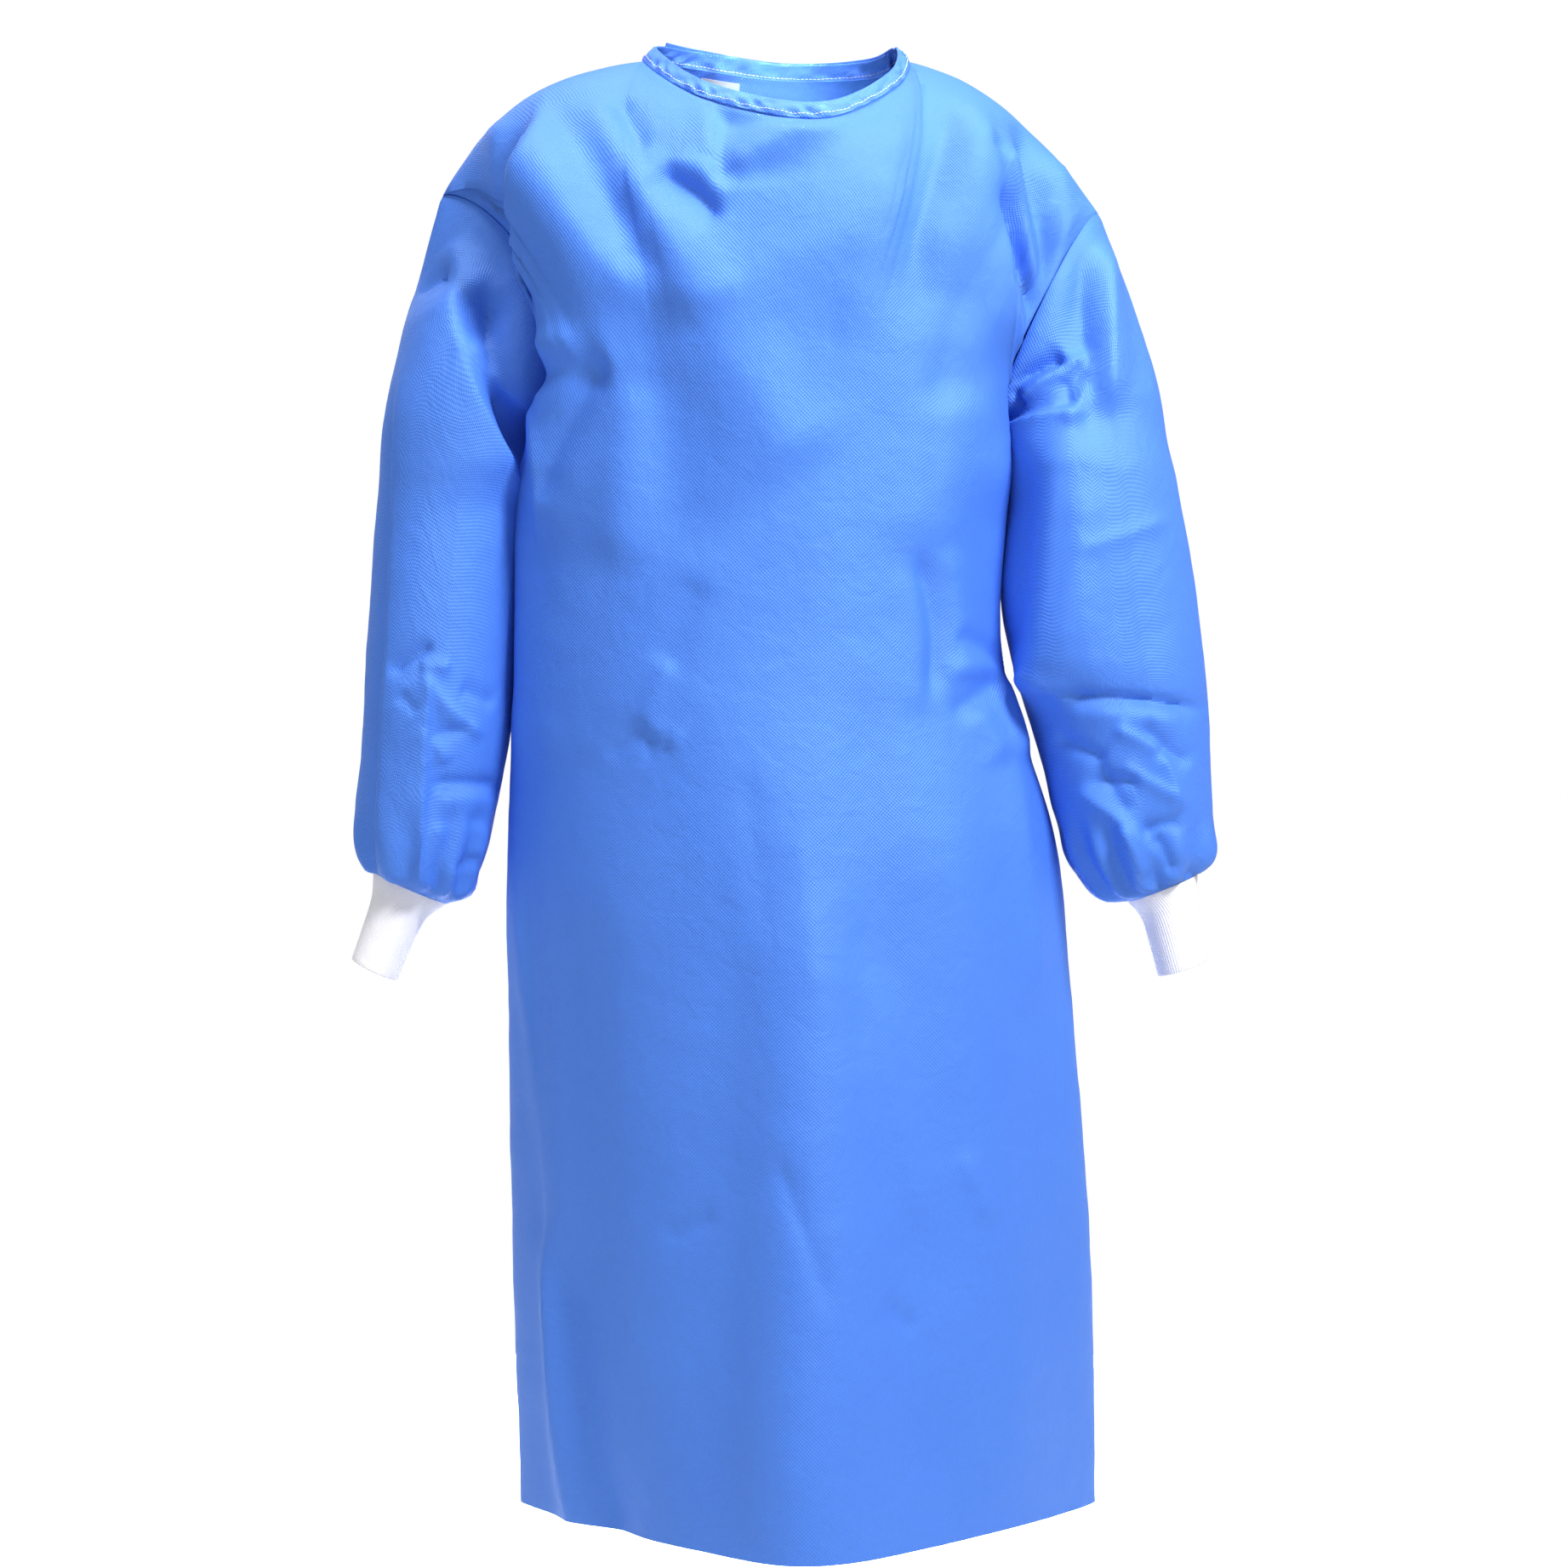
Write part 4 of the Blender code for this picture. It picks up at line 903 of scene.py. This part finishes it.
def wrinkles(tree, scale, detail=2.0, distortion=0.0, source=None):
    """Noise of so many waves a metre of the source, or else of so many across the piece."""
    made = tree.nodes.new("ShaderNodeTexNoise")
    made.inputs["Scale"].default_value = scale
    made.inputs["Detail"].default_value = detail
    made.inputs["Distortion"].default_value = distortion
    if source is not None:
        tree.links.new(source, made.inputs["Vector"])
    return made.outputs["Fac"]


def bump(tree, height, strength, depth, under=None):
    """The normals of a relief, on top of another one's if it has one under it."""
    made = tree.nodes.new("ShaderNodeBump")
    made.inputs["Strength"].default_value = strength
    made.inputs["Distance"].default_value = depth
    tree.links.new(height, made.inputs["Height"])
    if under is not None:
        tree.links.new(under, made.inputs["Normal"])
    return made.outputs["Normal"]


def mix_colours(tree, share, first, second):
    """The first colour where share is 0, and the second where it is 1."""
    made = tree.nodes.new("ShaderNodeMix")
    made.data_type = "RGBA"
    made.inputs["A"].default_value = (*first, 1)
    made.inputs["B"].default_value = (*second, 1)
    tree.links.new(share, made.inputs["Factor"])
    return made.outputs["Result"]


def cloth_material():
    """Blue non-woven with a lattice of embossed dots, faint crumples and a soft sheen."""
    tree, shader = fabric("gown_cloth", BLUE, roughness=0.58, sheen=0.02, tint=SHEEN, specular=1.0)
    source, across, up = place_on_cloth(tree)
    lattice = maths(tree, "MULTIPLY", waves(tree, across, EMBOSS), waves(tree, up, EMBOSS))
    dots = maths(tree, "MULTIPLY_ADD", lattice, 0.5, 0.5)  # from 0 to 1
    small = wrinkles(tree, scale=60, distortion=0.6, source=source)
    crumpled = bump(tree, small, strength=0.5, depth=0.0016)
    fibres = wrinkles(tree, scale=900, detail=1.0, source=source)
    felted = bump(tree, fibres, strength=0.12, depth=0.0003, under=crumpled)
    embossed = bump(tree, dots, strength=0.8, depth=0.0004, under=felted)
    tree.links.new(embossed, shader.inputs["Normal"])
    patches = maths(tree, "MULTIPLY", wrinkles(tree, scale=9, source=source), PATCHY_SHADE)
    shade = maths(tree, "MULTIPLY_ADD", dots, DOT_SHADE, patches)
    tree.links.new(mix_colours(tree, shade, BLUE, BLUE_DEEP), shader.inputs["Base Color"])


def knit_material():
    """White ribbed knit."""
    tree, shader = fabric("cuff_knit", WHITE_KNIT, roughness=0.85, sheen=0.2, specular=0.2)
    source, across, up = place_on_cloth(tree)
    loops = maths(tree, "MULTIPLY", waves(tree, up, LOOP), LOOP_SHARE)
    ribs = maths(tree, "ADD", waves(tree, across, RIB), loops)
    soft = bump(tree, wrinkles(tree, scale=90, detail=3.0, source=source), strength=0.5, depth=0.0012)
    tree.links.new(bump(tree, ribs, strength=0.5, depth=0.00025, under=soft), shader.inputs["Normal"])


def patch_material():
    """Plain pale weave."""
    tree, shader = fabric("patch_weave", PATCH_GREY, roughness=0.7, specular=0.3)
    _, across, up = place_on_cloth(tree)
    weave = maths(tree, "MULTIPLY", waves(tree, across, WEAVE), waves(tree, up, WEAVE))
    tree.links.new(bump(tree, weave, strength=0.4, depth=0.0001), shader.inputs["Normal"])


def thread_material():
    """Pale thread with a fine grain."""
    tree, shader = fabric("thread", THREAD, roughness=0.6, specular=0.3)
    grain = wrinkles(tree, scale=2500)
    tree.links.new(bump(tree, grain, strength=0.3, depth=0.0001), shader.inputs["Normal"])


def floor_material():
    """Plain pale floor, with a grain too faint to see from afar."""
    tree, shader = fabric("floor", FLOOR, roughness=0.9, specular=0.1)
    grain = wrinkles(tree, scale=900)
    tree.links.new(bump(tree, grain, strength=0.1, depth=0.0001), shader.inputs["Normal"])


def body_panel(name, turns, out=np.zeros_like):
    """A front or back panel's shell."""
    turn, level = np.meshgrid(turns, body_levels())
    points = body_surface(turn, level)
    facing = grid_normals(points)
    points = points + facing * out(turn)[..., None]
    points[-1] -= facing[-1] * SEAM_DIP
    for edge in (0, -1):
        points[:, edge] -= facing[:, edge] * SEAM_DIP / 2
    return shell(name, points, facing, WALL)


def sleeve(name, side):
    """A sleeve's shell, from the armhole to the cuff seam."""
    rows = np.linspace(0, 1, SLEEVE_ROWS + 1)
    front = ARMHOLE_FACES["front"] * SLEEVE_FINER
    back = ARMHOLE_FACES["back"] * SLEEVE_FINER
    turn, level = np.meshgrid(stretches(0.0, 0.5, front, 1.0, back)[:-1], rows)
    points = sleeve_surface(side, turn, level)
    facing = side * grid_normals(points, closed=True)
    points[0] -= facing[0] * SEAM_DIP
    return shell(name, points, facing, WALL, closed=True, flip=side < 0)


def cuff(name, side):
    """A doubled knitted cuff with a soft rounded end."""
    turns = np.linspace(0, 1, ARMHOLE_FACES["front"] + ARMHOLE_FACES["back"] + 1)[:-1]
    rings = np.stack([ring_point(ring, side, turns) for ring in (SLEEVES[side][-1], *CUFFS[side])])
    points = through(np.arange(len(rings)), rings, np.linspace(0, len(rings) - 1, CUFF_ROWS + 1))
    facing = unit(points - points.mean(axis=1, keepdims=True))
    heading = unit(points[-1] - points[-2])
    return doubled(name, points, facing, heading, KNIT, "cuff_knit", closed=True, flip=side < 0)


def binding_lines():
    """The binding's lower edge, and along it the cloth's facing and the binding's facing and heading."""
    in_front = stretches(0.0, NECK_TURN, BINDING_FACES["front"])[1:]
    behind = stretches(1 - NECK_TURN, 1 + LAP_TURN, BINDING_FACES["back"])[1:]
    half = np.concatenate([in_front, behind])
    turn = np.concatenate([-half[::-1], [0.0], half])
    edge = top_edge(turn)[0]
    cloth_facing = normals(body_form, turn, np.full_like(turn, 2.0), top=2)
    edge = edge + cloth_facing * (lap_out(turn)[..., None] + BINDING_OUT)
    along = np.gradient(edge, axis=0)
    inwards = unit((NECKLINE[0].x / 2, 0, 0) - edge) * (1, 1, 0)
    lean = through([row.turn for row in LEANS], [row.lean for row in LEANS], np.abs(turn))
    heading = unit(lean[:, None] * inwards + (0, 0, 1))
    facing = unit(np.cross(along, heading))
    low = edge - unit(np.cross(cloth_facing, along)) * BINDING_UNDER
    return low, cloth_facing, facing, heading


def binding_row(share):
    """The binding's outer side at a share of the way up it, and the way it faces there."""
    low, cloth_facing, facing, heading = binding_lines()
    run = np.cumsum(np.linalg.norm(np.diff(low, axis=0, prepend=low[:1]), axis=-1))
    turned = ease(np.array(share / BINDING_TURNS))
    way = unit((1 - turned) * cloth_facing + turned * facing)
    ripple = sum(
        pull.rise * (2 * np.abs(np.sin(pi * (run / pull.pitch + pull.slant * share + pull.start))) - 1)
        for pull in PULLS
    )
    ripple = ripple * sin(pi * min(1.0, share / PULLS_END)) ** PULLS_SWELL
    return low + heading * share * (BINDING + BINDING_UNDER) + way * ripple[:, None], way


def binding(name):
    """The folded strip that binds the neckline, with slanting pulls along it."""
    outer, ways = zip(*(binding_row(row / BINDING_ROWS) for row in range(BINDING_ROWS + 1)))
    heading = binding_lines()[-1]
    return doubled(name, np.stack(outer), np.stack(ways), heading, BINDING_WALL)


def stitch_points(middle, way, out):
    """The points of one short thread: rings that are smaller at both ends."""
    sideways = np.cross(way, out)
    angles = [2 * pi * step / STITCH_SIDES for step in range(STITCH_SIDES)]
    ring = [(cos(angle) * out * STITCH_FLAT + sin(angle) * sideways) * STITCH_THICK / 2 for angle in angles]
    return [middle + way * STITCH * swell.share + spoke * swell.size for swell in STITCH_SWELLS for spoke in ring]


def stitch_faces(first):
    """The faces of a thread whose points are numbered from first on."""
    sides = range(STITCH_SIDES)
    rings = [[first + ring * STITCH_SIDES + step for step in sides] for ring in range(len(STITCH_SWELLS))]
    faces = [rings[0][::-1], rings[-1]]
    for low, high in zip(rings, rings[1:]):
        faces += [[low[step - 1], low[step], high[step], high[step - 1]] for step in sides]
    return faces


def stitches(name, middles, ways, facing):
    """A row of short threads, each lying along its way on the cloth."""
    points, faces = [], []
    for middle, way, out in zip(middles, ways, facing):
        faces += stitch_faces(len(points))
        points += stitch_points(middle, way, out)
    piece = mesh_piece(name, points, faces, "thread")
    piece.data.shade_smooth()
    return piece


def along_line(line, pitch, *others):
    """Evenly spaced points on a line of points, with the same places on the other rows of values."""
    run = np.cumsum(np.linalg.norm(np.diff(line, axis=0, prepend=line[:1]), axis=-1))
    at = np.arange(pitch, run[-1] - pitch / 2, pitch)
    return [np.stack([np.interp(at, run, values) for values in row.T], axis=-1) for row in (line, *others)]


def binding_stitches(name, inside=False):
    """The row of stitches round the binding, on its outer or its inner side."""
    line, way = binding_row(STITCHED_ROW)
    out = -way if inside else way
    depth = BINDING_WALL if inside else 0.0
    line = line - way * depth + out * STITCH_THICK / 2
    middles, ways, faces = along_line(line, STITCH_PITCH, np.gradient(line, axis=0), out)
    return stitches(name, middles, unit(ways), unit(faces))


def waist_stitches(name):
    """The short column of stitches that holds the tie at the wearer's left."""
    heights = WAIST + STITCH_PITCH * (np.arange(WAIST_STITCHES) - WAIST_STITCHES / 2)
    turn = np.full_like(heights, WAIST_STITCH_TURN)
    points = body_surface(turn, level_of(heights))
    facing = normals(body_form, turn, level_of(heights), top=2)
    ways = np.tile((0.0, 0.0, 1.0), (len(heights), 1))
    return stitches(name, points + facing * STITCH_THICK / 2, ways, facing)


def tie(name, turns, out):
    """A flat tie along the waist."""
    heights = WAIST + TIE_WIDTH * np.linspace(-0.5, 0.5, TIE_FACES + 1)
    turn, level = np.meshgrid(turns, level_of(heights))
    points = body_surface(turn, level)
    facing = grid_normals(points)
    points = points + facing * (out(turn) + TIE_GAP + TIE_WALL)[..., None]
    return shell(name, points, facing, TIE_WALL)


def tie_tail(name, lean):
    """A tie's end that hangs free from the knot, leaning to one side as it falls."""
    rows, columns = np.linspace(0, 1, TAIL_ROWS + 1), np.linspace(-0.5, 0.5, TIE_FACES + 1)
    share, across = np.meshgrid(rows, columns, indexing="ij")
    opened = ease(share / TAIL_OPENS)
    level = level_of(WAIST - KNOT_SIZE[2] / 2 - TAIL * share)
    width = TIE_WIDTH * (KNOT_PINCH + (1 - KNOT_PINCH) * opened)
    turn = 1 + (lean * (TIE_WIDTH / 2 + TAIL_LEAN * share) + across * width) / BACK_ROUND
    pleats = TAIL_PLEAT * np.cos(2 * pi * across * TAIL_PLEATS) * ease(1 - share / TAIL_PLEATED)
    wave = TAIL_WAVE * np.sin(2 * pi * (share * TAIL_WAVES + across * TAIL_WAVE_SLANT)) * opened
    out = TAIL_OUT + TIE_WALL + pleats + wave
    points = body_form(turn, level) + normals(body_form, turn, level, top=2) * out[..., None]
    return shell(name, points, grid_normals(points), TIE_WALL, flip=True)


def knot(name):
    """The ties' knot: a small bundle with folds that wind round it."""
    middle = body_surface(np.array([1.0]), np.array([level_of(WAIST)]))[0]
    middle = middle + np.array((0, LAP + TIE_GAP + KNOT_SIZE[1] / 2, 0))
    sides = np.linspace(0, 2 * pi, KNOT_SIDES + 1)[:-1]
    around, along = np.meshgrid(sides, np.linspace(KNOT_END, 1 - KNOT_END, KNOT_ROWS + 1) * pi)
    wound = KNOT_FOLD * (2 * np.abs(np.sin(KNOT_FOLDS / 2 * around + KNOT_WIND * np.cos(along))) - 1)
    ring = np.sin(along) * (1 + wound)
    form = stack(-np.cos(along), ring * np.cos(around), ring * np.sin(around))
    points = middle + form * np.array(KNOT_SIZE) / 2
    return shell(name, points, grid_normals(points, closed=True), TIE_WALL, closed=True)


def patch(name):
    """The small woven patch on the inner side of the right back panel."""
    half = PATCH_WIDTH / 2 / NECK_ROUND
    columns = np.linspace(-half, half, PATCH_FACES + 1) + PATCH_TURN
    turn, down = np.meshgrid(columns, np.linspace(1, 0, PATCH_FACES + 1))
    top = body_form(turn, np.full_like(turn, 2.0))
    low = body_form(turn, np.full_like(turn, 2.0 - PATCH_PROBE))
    reach = np.linalg.norm(top - low, axis=-1)
    level = 2 - (PATCH_TOP + PATCH_HEIGHT * down) / reach * PATCH_PROBE
    points = body_surface(turn, level)
    facing = grid_normals(points)
    return shell(name, points - facing * (WALL + PATCH_GAP), facing, PATCH_WALL, "patch_weave")


def floor():
    """A level square under the gown."""
    half, low = FLOOR_SIZE, HEM - FLOOR_BELOW
    corners = [(-half, -half, low), (half, -half, low), (half, half, low), (-half, half, low)]
    mesh_piece("floor", corners, [range(len(corners))], "floor")


def area_light(lamp):
    """A round soft light, aimed at a point."""
    data = bpy.data.lights.new(lamp.name, "AREA")
    data.shape = "DISK"
    data.size = lamp.size
    data.spread = radians(lamp.spread)
    data.energy = lamp.power
    made = bpy.data.objects.new(lamp.name, data)
    made.location = lamp.at
    made.rotation_euler = (Vector(lamp.aim) - Vector(lamp.at)).to_track_quat("-Z", "Y").to_euler()
    bpy.context.scene.collection.objects.link(made)


def studio_light():
    """A backdrop that looks white and lights softly, and the lamps."""
    world = bpy.data.worlds.new("studio")
    world.use_nodes = True
    tree = world.node_tree
    backdrop = tree.nodes["Background"]
    backdrop.inputs["Color"].default_value = (*WHITE, 1)
    seen = tree.nodes.new("ShaderNodeLightPath").outputs["Is Camera Ray"]
    strength = maths(tree, "MULTIPLY_ADD", seen, 1.0 - AMBIENT, AMBIENT)
    tree.links.new(strength, backdrop.inputs["Strength"])
    bpy.context.scene.world = world
    bpy.context.scene.view_settings.view_transform = "Standard"
    for lamp in LAMPS:
        area_light(lamp)


def photo_camera():
    """The camera at the photo's angle."""
    data = bpy.data.cameras.new("photo_camera")
    data.sensor_width = SENSOR
    data.lens = SENSOR * FOCAL_PIXELS / PICTURE_PIXELS
    camera = bpy.data.objects.new("photo_camera", data)
    camera.location = CAMERA
    camera.rotation_euler = (pi / 2, 0, 0)
    bpy.context.scene.collection.objects.link(camera)
    bpy.context.scene.camera = camera


def dress(piece, replaced=None):
    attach(piece, "root")
    if replaced:
        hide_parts(replaced)


def put_on_panels():
    """The front panel and the two back panels, the left one over the right one."""
    front = body_panel("front_panel", front_turns())
    dress(front, "front")
    left = body_panel("back_panel_left", back_turns(), out=lap_out)
    right = body_panel("back_panel_right", -back_turns()[::-1])
    for piece, replaced in ((left, "back_left"), (right, "back_right")):
        dress(piece, replaced)


def put_on_sleeves():
    """The sleeves and their cuffs."""
    for side, word in ((1, "left"), (-1, "right")):
        cloth = sleeve(f"sleeve_cloth_{word}", side)
        dress(cloth, f"sleeve_{word}")
        knit = cuff(f"cuff_knit_{word}", side)
        dress(knit, f"cuff_{word}")


def put_on_binding():
    """The strip round the neck, and the patch behind it."""
    dress(
        binding("binding_strip"),
        "neck_binding",
    )
    dress(patch("patch_blank"), "neck_patch")


def put_on_ties():
    """The ties' bands round to the back, their free ends and their knot."""
    to_knot = back_turns()[: -LAP_FACES - 1]
    for word, turns, out in (("left", to_knot, lap_out), ("right", -to_knot[::-1], over_lap)):
        band = tie(f"tie_band_{word}", turns, out)
        dress(band, f"tie_{word}")
    for word, lean in (("left", -1), ("right", 1)):
        tail = tie_tail(f"tie_end_{word}", lean)
        dress(tail, f"tie_tail_{word}")
    dress(knot("knot_bundle"), "tie_knot")


def build():
    """The whole dressed gown in its studio."""
    for material in (cloth_material, knit_material, patch_material, thread_material, floor_material):
        material()
    studio_light()
    photo_camera()
    floor()
    neck_threads = [
        binding_stitches("binding_stitches"),
        binding_stitches("binding_stitches_inside", inside=True),
    ]
    waist_thread = waist_stitches("waist_stitches")
    for thread in (*neck_threads, waist_thread):
        dress(thread)
    put_on_panels()
    put_on_sleeves()
    put_on_binding()
    put_on_ties()


build()
